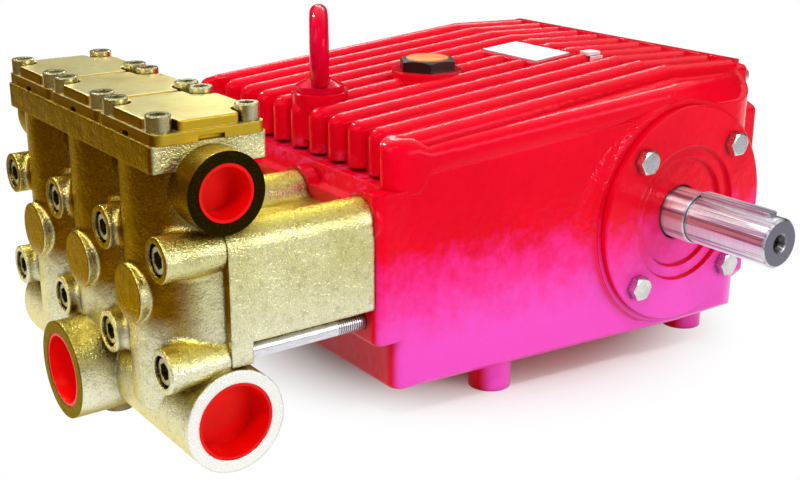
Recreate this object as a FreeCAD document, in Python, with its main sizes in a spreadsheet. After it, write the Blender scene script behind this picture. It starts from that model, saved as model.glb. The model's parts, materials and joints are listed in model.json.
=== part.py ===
import FreeCAD, Part
import math
import os
import Sketcher
from FreeCAD import Placement, Rotation, Vector

# A horizontal three-plunger pump. The origin is the centre of the four feet on the floor.
# X runs from the fluid end to the rear of the crankcase, Z is up, the shaft end points to -Y.

SIZES = {
    # Plungers and crank
    "bore_pitch": 92.0,
    "plunger_height": 131.0,
    "bolt_rise": 37.5,
    "bolt_drop": 45.0,
    # Stations along X, measured forward and back from the centre of the feet
    "head_reach": 415.5,
    "casing_front_reach": 369.0,
    "case_front_reach": 246.5,
    "lower_front_reach": 229.0,
    "shaft_back": 57.0,
    "case_back": 159.5,
    # Fluid end
    "boss_radius": 16.6,
    "disc_radius": 22.0,
    "disc_proud": 2.3,
    "valley_radius": 9.0,
    "boss_root_radius": 5.0,
    "disc_root_radius": 3.0,
    "boss_edge_radius": 1.2,
    "column_radius": 57.5,
    "column_set_back": 2.5,
    "head_side": 137.0,
    "manifold_set_back": 45.8,
    "manifold_half_length": 159.0,
    "suction_height": 43.0,
    "suction_radius": 39.2,
    "suction_bore": 29.8,
    "front_port_proud": 21.7,
    "discharge_height": 213.5,
    "discharge_radius": 29.6,
    "discharge_bore": 21.2,
    "passage_step": 4.0,
    "plug_depth": 24.0,
    "plug_wall": 2.4,
    "plug_inset": 0.4,
    "top_plate_set_back": 2.2,
    "top_plate_depth": 90.0,
    "top_plate_half_width": 135.0,
    "top_plate_bottom": 227.5,
    "top_plate_thickness": 19.0,
    "top_plate_corner": 4.0,
    "plug_gap": 0.1,
    "drain_boss_radius": 13.0,
    "drain_boss_foot": 0.6,
    # Valve covers
    "cover_gap": 1.0,
    "cover_depth": 86.0,
    "cover_base": 8.0,
    "cover_total": 16.0,
    "cover_step": 4.0,
    "cover_corner": 7.0,
    "cover_edge": 1.5,
    "scoop_gap": 1.5,
    "scoop_edge": 3.0,
    "notch_height": 3.6,
    "notch_depth": 4.0,
    "notch_front_length": 10.0,
    "notch_side_length": 20.0,
    "screw_spacing_x": 67.5,
    "screw_spacing_y": 68.6,
    # Plunger casing
    "casing_half_width": 155.3,
    "casing_bottom": 98.0,
    "casing_flange_bottom": 83.0,
    "casing_flange_thickness": 17.4,
    "hump_radius": 17.3,
    "hump_root_radius": 8.0,
    "casing_edge_radius": 4.0,
    # Crankcase
    "case_bottom": 26.8,
    "bottom_edge_radius": 4.0,
    "front_half_width": 159.0,
    "rear_half_width": 184.0,
    "top_half_width": 150.0,
    "front_floor_height": 219.0,
    "kink_floor_height": 243.5,
    "rear_floor_height": 240.0,
    "kink_back": 66.0,
    "crease_drop": 20.0,
    "corner_radius": 40.0,
    "case_root": 20.0,
    "flange_bottom": 68.0,
    "flange_rise": 21.5,
    "flange_corner": 9.0,
    "collar_wall": 3.5,
    "collar_depth": 11.0,
    "shelf_rise": 9.5,
    "slope_run": 15.0,
    "lobe_foot": 205.0,
    "front_corner_radius": 15.0,
    "front_corner_back": 34.5,
    "front_edge_radius": 12.0,
    "rib_count": 11,
    "rib_pitch": 28.8,
    "rib_width": 19.0,
    "rib_height": 9.5,
    "rib_root": 9.0,
    "rib_start": 34.0,
    "lobe_root": 12.0,
    "bearing_boss_radius": 99.0,
    "bearing_boss_depth": 22.0,
    "boss_draft": 15.0,
    "cover_seat": 184.0,
    "feet_spacing_x": 237.0,
    "feet_spacing_y": 282.0,
    "foot_radius": 18.0,
    "foot_thread_depth": 24.0,
    "foot_thread_radius": 7.0,
    # Bearing covers
    "bearing_cover_radius": 95.0,
    "bearing_cover_thickness": 6.0,
    "cover_edge_chamfer": 1.0,
    "hub_radius": 59.5,
    "cover_bolt_circle": 78.3,
    "hex_across_flats": 19.0,
    "hex_height": 8.5,
    "hex_chamfer": 1.6,
    "cover_bolt_radius": 6.0,
    # Shaft
    "shaft_radius": 21.0,
    "shoulder_radius": 22.5,
    "journal_radius": 30.0,
    "running_gap": 0.05,
    "shaft_end": 290.0,
    "shoulder_end": 207.0,
    "journal_start": 40.0,
    "journal_end": 163.0,
    "journal_room": 6.0,
    "end_chamfer": 2.0,
    "shoulder_chamfer": 1.0,
    "relief_width": 3.0,
    "relief_depth": 0.9,
    "key_width": 12.0,
    "key_height": 8.0,
    "key_seat": 5.0,
    "key_length": 75.0,
    "key_inset": 7.5,
    "centre_hole_radius": 5.1,
    "centre_hole_depth": 28.0,
    "centre_sink_radius": 8.5,
    "centre_sink_depth": 5.0,
    # Shaft seal
    "seal_radius": 36.0,
    "seal_width": 9.0,
    "spigot_radius": 60.0,
    "spigot_length": 14.0,
    "spigot_gap": 0.1,
    "seal_lip": 2.0,
    "opening_gap": 1.5,
    "recess_radius": 48.7,
    "recess_depth": 4.0,
    "recess_slope": 1.5,
    # Studs and screws
    "stud_radius": 7.0,
    "stud_gap": 0.5,
    "hump_gap": 1.0,
    "stud_head_radius": 10.5,
    "stud_head_height": 14.0,
    "stud_hex": 12.0,
    "stud_hex_depth": 8.0,
    "head_sink": 2.0,
    "screw_chamfer": 0.8,
    "hole_spare": 2.0,
    "counterbore_radius": 12.2,
    "screw_radius": 6.0,
    "screw_gap": 0.4,
    "screw_head_radius": 9.0,
    "screw_head_height": 12.0,
    "screw_hex": 10.0,
    "screw_hex_depth": 6.0,
    "screw_grip": 20.0,
    # Lifting eye
    "eye_front": 194.5,
    "eye_ring_radius": 28.0,
    "eye_wire_radius": 8.0,
    "eye_neck_spread": 3.0,
    "eye_collar_radius": 20.0,
    "eye_collar_height": 10.0,
    "eye_seat": 237.0,
    "eye_boss_radius": 24.0,
    "eye_shank_radius": 10.0,
    "eye_shank_length": 24.0,
    "eye_turn": 32.0,
    # Oil filler
    "filler_front": 81.0,
    "filler_seat": 243.0,
    "filler_boss_radius": 32.0,
    "filler_hex": 46.0,
    "filler_thread_radius": 18.0,
    "filler_thread_length": 14.0,
    "filler_height": 10.0,
    "insert_radius": 14.0,
    "insert_depth": 2.0,
    # Plate on the top
    "plate_back": 28.9,
    "plate_offset": -6.8,
    "plate_length": 41.0,
    "plate_width": 75.0,
    "plate_frame": 5.0,
    "plate_rise": 8.0,
    "plate_thickness": 1.0,
    # Rear cover
    "rear_cover_thickness": 12.0,
    "rear_cover_top": 243.0,
    "rear_cover_bottom": 34.0,
    "rear_neck_half_width": 150.0,
    "rear_neck_bottom": 212.0,
    "rear_flange_half_width": 164.0,
    "rear_flange_top": 206.0,
    "rear_flange_bottom": 49.0,
    "rear_flange_thickness": 14.0,
    "rear_corner": 6.0,
    "rim_thickness": 7.0,
    "rear_rib_height": 8.0,
    "rear_rib_width": 8.0,
    "rear_rib_count": 7,
    "rear_screw_radius": 5.0,
    "rear_screw_head_radius": 8.0,
    "rear_screw_head_height": 10.0,
    "rear_screw_hex": 8.0,
    "rear_screw_margin": 12.0,
    "glass_radius": 17.0,
    "glass_border": 5.0,
    "glass_height": 118.0,
    "drain_hex": 22.0,
    "drain_border": 5.5,
    "drain_height": 50.0,
    "drain_radius": 9.0,
    "fitting_thickness": 7.0,
    "thread_grip": 20.0,
}

doc = FreeCAD.newDocument("plunger_pump")
sheet = doc.addObject("Spreadsheet::Sheet", "sizes")
for row, (alias, number) in enumerate(SIZES.items(), start=1):
    sheet.set(f"A{row}", alias.replace("_", " "))
    sheet.set(f"B{row}", str(number))
    sheet.setAlias(f"B{row}", alias)
doc.recompute()


class Formula:
    """A size or a sum of sizes: the formula that binds a property, and its present number."""

    def __init__(self, text, number):
        self.text = text
        self.number = number

    def joined(self, sign, other, number):
        return Formula(f"({self.text} {sign} {other.text})", number)

    def __add__(self, other):
        other = as_formula(other)
        return self.joined("+", other, self.number + other.number)

    def __radd__(self, other):
        return as_formula(other) + self

    def __sub__(self, other):
        other = as_formula(other)
        return self.joined("-", other, self.number - other.number)

    def __rsub__(self, other):
        return as_formula(other) - self

    def __mul__(self, other):
        other = as_formula(other)
        return self.joined("*", other, self.number * other.number)

    def __rmul__(self, other):
        return as_formula(other) * self

    def __truediv__(self, other):
        other = as_formula(other)
        return self.joined("/", other, self.number / other.number)

    def __neg__(self):
        return as_formula(0) - self

    def root(self):
        return Formula(f"sqrt({self.text})", math.sqrt(self.number))


def as_formula(thing):
    if isinstance(thing, Formula):
        return thing
    return Formula(f"{float(thing):.6f}", float(thing))


def size(alias):
    """Reads one driving size back from the sheet."""
    return Formula("sizes." + alias, float(sheet.get(alias)))


def bind(thing, name, formula):
    """Binds one property of an object to a formula of the sheet's sizes."""
    thing.setExpression(name, as_formula(formula).text)


# Places worked out from the driving sizes
PITCH = size("bore_pitch")
AXIS_Z = size("plunger_height")
UPPER_Z = AXIS_Z + size("bolt_rise")
LOWER_Z = AXIS_Z - size("bolt_drop")
FACE_X = -size("head_reach")
CASING_X = -size("casing_front_reach")
CASE_X = -size("case_front_reach")
LOWER_FRONT_X = -size("lower_front_reach")
MANIFOLD_X = FACE_X + size("manifold_set_back")
SHAFT_X = size("shaft_back")
CASE_END_X = size("case_back")
TOP_PLATE_Z = size("top_plate_bottom") + size("top_plate_thickness")
BOLT_YS = [PITCH * step for step in (-1.5, -0.5, 0.5, 1.5)]
PLUNGER_YS = [PITCH * step for step in (-1, 0, 1)]
STUD_SPOTS = [(y, z) for z in (UPPER_Z, LOWER_Z) for y in BOLT_YS]
PLUNGER_SPOTS = [(y, AXIS_Z) for y in PLUNGER_YS]
CORNER_SIGNS = [(-1, -1), (1, -1), (1, 1), (-1, 1)]
FOOT_SPOTS = [(size("feet_spacing_x") * (sign_x / 2), size("feet_spacing_y") * (sign_y / 2))
              for sign_x, sign_y in CORNER_SIGNS]

# How straight an edge runs along an axis, and how near its middle lies, to be picked out
ALIGNED = 0.999
CLOSE = 0.01

ALONG_X = Rotation(Vector(0, 0, 1), Vector(1, 0, 0))
TOWARDS_HEAD = Rotation(Vector(0, 0, 1), Vector(-1, 0, 0))
NEAR_SIDE = Rotation(Vector(1, 0, 0), 90)
FAR_SIDE = Rotation(Vector(1, 0, 0), -90)
UPRIGHT = Rotation()

nodes = []


def new_body(label):
    """Starts a PartDesign body that becomes one node."""
    body = doc.addObject("PartDesign::Body", label)
    body.Label = label
    nodes.append(body)
    return body


def place(thing, rotation, across, along, up):
    """Places an object at bound coordinates."""
    across, along, up = (as_formula(part) for part in (across, along, up))
    thing.Placement = Placement(Vector(across.number, along.number, up.number), rotation)
    bind(thing, "Placement.Base.x", across)
    bind(thing, "Placement.Base.y", along)
    bind(thing, "Placement.Base.z", up)


def add_sketch(body, name, role, across=0, up=0, out=0):
    """Adds a sketch on an origin plane, shifted within the plane and out along its normal."""
    sketch = body.newObject("Sketcher::SketchObject", name)
    plane = [item for item in body.Origin.OriginFeatures if item.Role == role][0]
    sketch.AttachmentSupport = (plane, [""])
    sketch.MapMode = "FlatFace"
    bind(sketch, "AttachmentOffset.Base.x", across)
    bind(sketch, "AttachmentOffset.Base.y", up)
    bind(sketch, "AttachmentOffset.Base.z", out)
    return sketch


def name_size(sketch, index, name, formula):
    """Names a constraint and binds it to a formula."""
    sketch.renameConstraint(index, name)
    bind(sketch, f"Constraints.{name}", formula)


def draw_circles(sketch, radius, spots):
    """Draws equal circles of a bound radius at bound spots of the sketch's plane."""
    radius = as_formula(radius)
    for across, up in spots:
        across = as_formula(across)
        up = as_formula(up)
        middle = Vector(across.number, up.number, 0)
        circle = sketch.addGeometry(Part.Circle(middle, Vector(0, 0, 1), radius.number))
        for kind, name, formula in (("DistanceX", "across", across), ("DistanceY", "up", up)):
            index = sketch.addConstraint(
                Sketcher.Constraint(kind, -1, 1, circle, 3, formula.number))
            name_size(sketch, index, f"{name}_{circle}", formula)
        index = sketch.addConstraint(Sketcher.Constraint("Radius", circle, radius.number))
        name_size(sketch, index, f"radius_{circle}", radius)


def draw_outline(sketch, corners):
    """Draws a closed outline of straight sides through bound corner points."""
    corners = [(as_formula(across), as_formula(up)) for across, up in corners]
    points = [Vector(across.number, up.number, 0) for across, up in corners]
    first = sketch.GeometryCount
    for start, end in zip(points, points[1:] + points[:1]):
        sketch.addGeometry(Part.LineSegment(start, end))
    for step, (across, up) in enumerate(corners):
        line = first + step
        previous = first + (step - 1) % len(corners)
        sketch.addConstraint(Sketcher.Constraint("Coincident", previous, 2, line, 1))
        index = sketch.addConstraint(
            Sketcher.Constraint("DistanceX", -1, 1, line, 1, across.number))
        name_size(sketch, index, f"across_{line}", across)
        index = sketch.addConstraint(Sketcher.Constraint("DistanceY", -1, 1, line, 1, up.number))
        name_size(sketch, index, f"up_{line}", up)


def draw_box(sketch, width, height):
    """Draws a rectangle about the sketch's origin."""
    half_width = as_formula(width) / 2
    half_height = as_formula(height) / 2
    draw_outline(sketch, [(-half_width, -half_height), (half_width, -half_height),
                          (half_width, half_height), (-half_width, half_height)])


def draw_hexagon(sketch, across_flats):
    """Draws a hexagon with two flats level."""
    half = as_formula(across_flats) / 2
    corner = half * (2 / math.sqrt(3))
    draw_outline(sketch, [(corner, 0), (corner / 2, half), (-corner / 2, half),
                          (-corner, 0), (-corner / 2, -half), (corner / 2, -half)])


def extrude(body, sketch, kind, length, backwards=False):
    """Pads or pockets a sketch over a bound length."""
    feature = body.newObject("PartDesign::" + kind, sketch.Name + "_" + kind.lower())
    feature.Profile = sketch
    feature.Length = as_formula(length).number
    feature.Reversed = backwards
    bind(feature, "Length", length)
    sketch.Visibility = False
    return feature


def pad(body, sketch, length, backwards=False):
    return extrude(body, sketch, "Pad", length, backwards)


def pocket(body, sketch, length, backwards=False):
    return extrude(body, sketch, "Pocket", length, backwards)


def round_pad(body, name, role, radius, length, spots=((0, 0),), out=0, backwards=False):
    """Raises one or more equal discs from the plane at out along the plane's normal."""
    sketch = add_sketch(body, name, role, out=out)
    draw_circles(sketch, radius, spots)
    return pad(body, sketch, length, backwards)


def round_pocket(body, name, role, radius, length, spots=((0, 0),), out=0, backwards=False):
    """Sinks one or more equal holes from the plane at out against the plane's normal."""
    sketch = add_sketch(body, name, role, out=out)
    draw_circles(sketch, radius, spots)
    return pocket(body, sketch, length, backwards)


def box_pad(body, name, role, width, height, length, across=0, up=0, out=0):
    sketch = add_sketch(body, name, role, across, up, out)
    draw_box(sketch, width, height)
    return pad(body, sketch, length)


def revolve(body, name, corners, kind="Revolution"):
    """Revolves a closed outline of the XZ plane about the body's Z axis."""
    sketch = add_sketch(body, name, "XZ_Plane")
    draw_outline(sketch, corners)
    feature = body.newObject("PartDesign::" + kind, name + "_turned")
    feature.Profile = sketch
    feature.ReferenceAxis = (sketch, ["V_Axis"])
    feature.Angle = 360
    sketch.Visibility = False
    return feature


def round_edges(body, name, radius, chosen):
    """Rounds the edges of the shape so far that a test picks out."""
    doc.recompute()
    base = body.Tip
    edges = [f"Edge{number}" for number, edge in enumerate(base.Shape.Edges, start=1)
             if chosen(edge)]
    feature = body.newObject("PartDesign::Fillet", name)
    feature.Base = (base, edges)
    bind(feature, "Radius", radius)
    return feature


def runs_along(edge, axis):
    """Whether an edge is straight and parallel to X, Y or Z, given as 0, 1 or 2."""
    if not isinstance(edge.Curve, Part.Line):
        return False
    return abs(edge.tangentAt(edge.FirstParameter)[axis]) > ALIGNED


def lies_at(edge, axis, place_on_axis):
    """Whether the middle of an edge lies at this coordinate."""
    return abs(edge.CenterOfMass[axis] - place_on_axis.number) < CLOSE


def round_face(face, radius):
    """Whether a face is part of a cylinder along X of this radius."""
    surface = face.Surface
    return (isinstance(surface, Part.Cylinder) and abs(surface.Axis.x) > ALIGNED
            and abs(surface.Radius - radius.number) < CLOSE)


def root_edges(shape, radius):
    """Lists where cylinders along X of one radius meet the faces they stand on."""
    roots = []
    for edge in shape.Edges:
        faces = shape.ancestorsOfType(edge, Part.Face)
        others = [face for face in faces if not round_face(face, radius)]
        if len(faces) != 2 or len(others) != 1:
            continue
        surface = others[0].Surface
        if not (isinstance(surface, Part.Plane) and abs(surface.Axis.x) > ALIGNED):
            roots.append(edge)
    return roots


def row_of(body, feature, role, length, count):
    """Repeats a feature in an even row along an origin axis."""
    axis = [item for item in body.Origin.OriginFeatures if item.Role == role][0]
    pattern = body.newObject("PartDesign::LinearPattern", feature.Name + "_row")
    pattern.Originals = [feature]
    pattern.Direction = (axis, [""])
    bind(pattern, "Length", length)
    bind(pattern, "Occurrences", count)
    body.Tip = pattern
    return pattern


def copies(label, master, rotation, places):
    """Makes one node from copies of a finished shape, as separate solids."""
    node = doc.addObject("Part::Feature", label)
    node.Label = label
    solids = []
    for across, along, up in places:
        spot = Vector(*(as_formula(part).number for part in (across, along, up)))
        solid = master.copy()
        solid.Placement = Placement(spot, rotation)
        solids.append(solid)
    node.Shape = Part.makeCompound(solids)
    nodes.append(node)
    return node


# Fluid end

def make_valve_casing():
    """The casting with three valve columns, bolt bosses, plunger discs and two manifolds."""
    body = new_body("valve_casing")
    column_x = FACE_X + size("column_set_back") + size("column_radius")
    block_front = FACE_X + size("column_set_back") + size("column_radius") / 2
    block_height = size("top_plate_bottom") - size("suction_height")
    box_pad(body, "core_block", "XY_Plane", CASING_X - block_front, size("head_side") * 2,
            block_height, across=(CASING_X + block_front) / 2, out=size("suction_height"))
    round_pad(body, "columns", "XY_Plane", size("column_radius"), block_height,
              spots=[(column_x, y) for y in PLUNGER_YS], out=size("suction_height"))
    # The back of the columns is sawn flush with the joint face
    trim = add_sketch(body, "joint_face", "XY_Plane", out=size("top_plate_bottom"))
    far = size("manifold_half_length") * 2
    draw_outline(trim, [(CASING_X, -far), (CASING_X + far, -far),
                        (CASING_X + far, far), (CASING_X, far)])
    pocket(body, trim, block_height)
    valleys = (PITCH / 2, -PITCH / 2)
    round_edges(body, "valley_blend", size("valley_radius"),
                lambda edge: runs_along(edge, 2) and any(lies_at(edge, 1, y) for y in valleys))
    boss_length = CASING_X - FACE_X
    for name, radius, length, spots in (
            ("plunger_disc", size("disc_radius"), boss_length + size("disc_proud"),
             PLUNGER_SPOTS),
            ("stud_boss", size("boss_radius"), boss_length, STUD_SPOTS)):
        round_pad(body, name, "YZ_Plane", radius, length, spots=spots, out=CASING_X - length)
    for name, radius, blend in (("disc", size("disc_radius"), size("disc_root_radius")),
                                ("boss", size("boss_radius"), size("boss_root_radius"))):
        doc.recompute()
        roots = root_edges(body.Tip.Shape, radius)
        round_edges(body, name + "_root", blend,
                    lambda edge: any(edge.isSame(root) for root in roots))
    box_pad(body, "top_plate", "XY_Plane", size("top_plate_depth"),
            size("top_plate_half_width") * 2, size("top_plate_thickness"),
            across=cover_centre_x(), out=size("top_plate_bottom"))
    plate_sides = (size("top_plate_half_width"), -size("top_plate_half_width"))
    round_edges(body, "top_plate_corners", size("top_plate_corner"),
                lambda edge: runs_along(edge, 2) and any(lies_at(edge, 1, y) for y in plate_sides))
    make_manifolds(body)
    for name, place_x in (("disc", FACE_X - size("disc_proud")), ("boss", FACE_X)):
        round_edges(body, name + "_edge", size("boss_edge_radius"),
                    lambda edge: isinstance(edge.Curve, Part.Circle) and lies_at(edge, 0, place_x))
    # Counterbores of the eight studs, and their clearance holes on through the manifold's back
    round_pocket(body, "counterbores", "YZ_Plane", size("counterbore_radius"),
                 size("head_sink") + size("stud_head_height"), spots=STUD_SPOTS, out=FACE_X,
                 backwards=True)
    round_pocket(body, "stud_holes", "YZ_Plane", size("stud_radius") + size("stud_gap"),
                 boss_length + size("suction_radius"), spots=STUD_SPOTS, out=FACE_X,
                 backwards=True)
    # The discharge manifold's back is relieved over the humps of the plunger casing
    round_pocket(body, "hump_relief", "YZ_Plane", size("hump_radius") + size("hump_gap"),
                 size("discharge_radius") * 2, spots=[(y, UPPER_Z) for y in BOLT_YS],
                 out=CASING_X, backwards=True)
    make_ports(body)
    # Tapped holes of the twelve cover screws
    round_pocket(body, "cover_tappings", "XY_Plane", size("screw_radius"),
                 size("screw_grip") - size("cover_base") + size("hole_spare"),
                 spots=[(cover_centre_x() + across, y + along) for y in PLUNGER_YS
                        for across, along in cover_corners()], out=TOP_PLATE_Z)
    return body


def make_manifolds(body):
    """The suction and discharge manifolds, the front port and the drain boss below it."""
    half_length = size("manifold_half_length")
    for name, radius, height in (
            ("discharge", size("discharge_radius"), size("discharge_height")),
            ("suction", size("suction_radius"), size("suction_height"))):
        round_pad(body, name + "_manifold", "XZ_Plane", radius, half_length * 2,
                  spots=[(MANIFOLD_X, height)], out=-half_length)
    round_pad(body, "front_port", "YZ_Plane", size("suction_radius"),
              size("manifold_set_back") + size("front_port_proud"),
              spots=[(0, size("suction_height"))], out=FACE_X - size("front_port_proud"))
    round_pad(body, "drain_boss", "XY_Plane", size("drain_boss_radius"),
              size("suction_height") - size("drain_boss_foot"),
              spots=[(FACE_X + size("manifold_set_back") / 2, 0)], out=size("drain_boss_foot"))


def make_ports(body):
    """Threaded ports with a shoulder where the plug ends."""
    half_length = size("manifold_half_length")
    step = size("passage_step")
    for name, height, bore in (("suction", size("suction_height"), size("suction_bore")),
                               ("discharge", size("discharge_height"), size("discharge_bore"))):
        for side, out, backwards in (("near", half_length, False), ("far", -half_length, True)):
            for part, radius, depth in (("port", bore, size("plug_depth")),
                                        ("passage", bore - step, size("plug_depth") * 2)):
                round_pocket(body, f"{side}_{name}_{part}", "XZ_Plane", radius, depth,
                             spots=[(MANIFOLD_X, height)], out=out, backwards=backwards)
    bore = size("suction_bore")
    for part, radius, depth in (("port", bore, size("plug_depth")),
                                ("passage", bore - step, size("plug_depth") * 2)):
        round_pocket(body, f"front_suction_{part}", "YZ_Plane", radius, depth,
                     spots=[(0, size("suction_height"))], out=FACE_X - size("front_port_proud"),
                     backwards=True)


def cover_centre_x():
    return FACE_X + size("top_plate_set_back") + size("top_plate_depth") / 2


def cover_corners():
    """The four screw places of a cover, from its centre."""
    return [(size("screw_spacing_x") * (sign_x / 2), size("screw_spacing_y") * (sign_y / 2))
            for sign_x, sign_y in CORNER_SIGNS]


def make_valve_cover(number, y):
    """A stepped cover over one valve column, scooped out at its four corners for the screws."""
    body = new_body(f"valve_cover_{number}")
    width = PITCH - size("cover_gap")
    depth = size("cover_depth")
    base = size("cover_base")
    total = size("cover_total")
    box_pad(body, f"cover_base_{number}", "XY_Plane", depth, width, base)
    round_edges(body, f"cover_corners_{number}", size("cover_corner"),
                lambda edge: runs_along(edge, 2))
    box_pad(body, f"cover_top_{number}", "XY_Plane", depth - size("cover_step"),
            width - size("cover_step"), total - base, out=base)
    # Each corner of the top is cut away round its screw, with a round inner corner
    room = size("screw_head_radius") + size("scoop_gap")
    inner_x = size("screw_spacing_x") / 2 - room
    inner_y = size("screw_spacing_y") / 2 - room
    scoops = add_sketch(body, f"scoops_{number}", "XY_Plane", out=total)
    for sign_x, sign_y in CORNER_SIGNS:
        near_x = inner_x * sign_x
        near_y = inner_y * sign_y
        draw_outline(scoops, [(near_x, near_y), (depth * sign_x, near_y),
                              (depth * sign_x, width * sign_y), (near_x, width * sign_y)])
    pocket(body, scoops, total - base)
    upright = (base + total) / 2
    round_edges(body, f"scoop_roots_{number}", room,
                lambda edge: (runs_along(edge, 2) and lies_at(edge, 2, upright)
                              and any(lies_at(edge, 0, inner_x * sign) for sign in (-1, 1))
                              and any(lies_at(edge, 1, inner_y * sign) for sign in (-1, 1))))
    top_x = (depth - size("cover_step")) / 2
    top_y = (width - size("cover_step")) / 2
    round_edges(body, f"scoop_corners_{number}", size("scoop_edge"),
                lambda edge: (runs_along(edge, 2) and lies_at(edge, 2, upright)
                              and any(lies_at(edge, 0, top_x * sign)
                                      or lies_at(edge, 1, top_y * sign) for sign in (-1, 1))))
    round_edges(body, f"cover_rim_{number}", size("cover_edge"),
                lambda edge: lies_at(edge, 2, total))
    round_pocket(body, f"screw_holes_{number}", "XY_Plane",
                 size("screw_radius") + size("screw_gap"), base, spots=cover_corners(), out=base)
    # Notches under the rim, where the cover is pried off
    for name, long_x, long_y, across, along in (
            ("front", size("notch_depth") * 2, size("notch_front_length"), -depth / 2, 0),
            ("side", size("notch_side_length"), size("notch_depth") * 2, 0, -width / 2)):
        notch = add_sketch(body, f"{name}_notch_{number}", "XY_Plane", across, along,
                           size("notch_height"))
        draw_box(notch, long_x, long_y)
        pocket(body, notch, size("notch_height"))
    place(body, UPRIGHT, cover_centre_x(), y, TOP_PLATE_Z)
    return body


def cap_screw(name, shank_radius, shank_length, head_radius, head_height, hexagon, hex_depth):
    """A socket-head screw along Z: its head stands on Z = 0, its shank hangs below."""
    body = doc.addObject("PartDesign::Body", name)
    chamfer = size("screw_chamfer")
    revolve(body, name + "_blank", [
        (0, -shank_length), (shank_radius - chamfer, -shank_length),
        (shank_radius, -shank_length + chamfer), (shank_radius, 0), (head_radius, 0),
        (head_radius, head_height - chamfer), (head_radius - chamfer, head_height),
        (0, head_height)])
    socket = add_sketch(body, name + "_socket", "XY_Plane", out=head_height)
    draw_hexagon(socket, hexagon)
    pocket(body, socket, hex_depth)
    doc.recompute()
    return body.Shape


def make_studs(crank_grip):
    """The long socket-head studs that clamp fluid end and plunger casing to the crankcase."""
    seat = FACE_X + size("head_sink") + size("stud_head_height")
    shape = cap_screw("long_stud", size("stud_radius"), CASE_X + crank_grip - seat,
                      size("stud_head_radius"), size("stud_head_height"), size("stud_hex"),
                      size("stud_hex_depth"))
    for level, height in (("upper", UPPER_Z), ("lower", LOWER_Z)):
        copies(level + "_studs", shape, TOWARDS_HEAD, [(seat, y, height) for y in BOLT_YS])


def make_cover_screws():
    """Four cap screws on each valve cover."""
    shape = cap_screw("cover_screw", size("screw_radius"), size("screw_grip"),
                      size("screw_head_radius"), size("screw_head_height"), size("screw_hex"),
                      size("screw_hex_depth"))
    seat = TOP_PLATE_Z + size("cover_base")
    for number, y in enumerate(PLUNGER_YS, start=1):
        copies(f"valve_cover_screws_{number}", shape, UPRIGHT,
               [(cover_centre_x() + across, y + along, seat) for across, along in cover_corners()])


def make_port_plug(label, bore, rotation, across, along, up):
    """A thin cup that closes a port, open outwards, with its floor on the port's shoulder."""
    body = new_body(label)
    depth = size("plug_depth") - size("plug_inset")
    radius = bore - size("plug_gap")
    wall = size("plug_wall")
    revolve(body, label + "_cup", [
        (0, -size("plug_depth")), (radius, -size("plug_depth")), (radius, -size("plug_inset")),
        (radius - wall, -size("plug_inset")), (radius - wall * 2, -depth + wall),
        (0, -depth + wall)])
    place(body, rotation, across, along, up)
    return body


# Plunger casing

def make_plunger_casing():
    """The casing between fluid end and crankcase, with four humps over the upper studs."""
    body = new_body("plunger_casing")
    length = CASE_X - CASING_X
    half = size("casing_half_width")
    bottom = size("casing_bottom")
    section = add_sketch(body, "casing_section", "YZ_Plane", out=CASING_X)
    draw_outline(section, [(-half, bottom), (half, bottom), (half, UPPER_Z), (-half, UPPER_Z)])
    pad(body, section, length)
    round_pad(body, "humps", "YZ_Plane", size("hump_radius"), length,
              spots=[(y, UPPER_Z) for y in BOLT_YS], out=CASING_X)
    inner_roots = [y + size("hump_radius") * side for y in BOLT_YS for side in (-1, 1)][1:-1]
    round_edges(body, "hump_roots", size("hump_root_radius"),
                lambda edge: (runs_along(edge, 0) and lies_at(edge, 2, UPPER_Z)
                              and any(lies_at(edge, 1, y) for y in inner_roots)))
    round_edges(body, "casing_edges", size("casing_edge_radius"),
                lambda edge: runs_along(edge, 0) and lies_at(edge, 2, bottom))
    flange = add_sketch(body, "front_flange", "YZ_Plane", out=CASING_X)
    draw_outline(flange, [(-half, size("casing_flange_bottom")),
                          (half, size("casing_flange_bottom")),
                          (half, AXIS_Z), (-half, AXIS_Z)])
    pad(body, flange, size("casing_flange_thickness"))
    round_pocket(body, "casing_holes", "YZ_Plane", size("stud_radius") + size("stud_gap"),
                 length, spots=STUD_SPOTS, out=CASING_X, backwards=True)
    return body


# Crankcase

def case_section(body, name, station, half_width, floor_height):
    """One section of the crankcase: upright sides, then a slope in to the ribbed top."""
    sketch = add_sketch(body, name, "YZ_Plane", out=station)
    crease = floor_height - size("crease_drop")
    bottom = size("case_bottom")
    edge = size("bottom_edge_radius")
    side = [(half_width - edge, bottom), (half_width, bottom + edge), (half_width, crease),
            (size("top_half_width"), floor_height)]
    draw_outline(sketch, side + [(-y, z) for y, z in reversed(side)])
    return sketch


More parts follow.
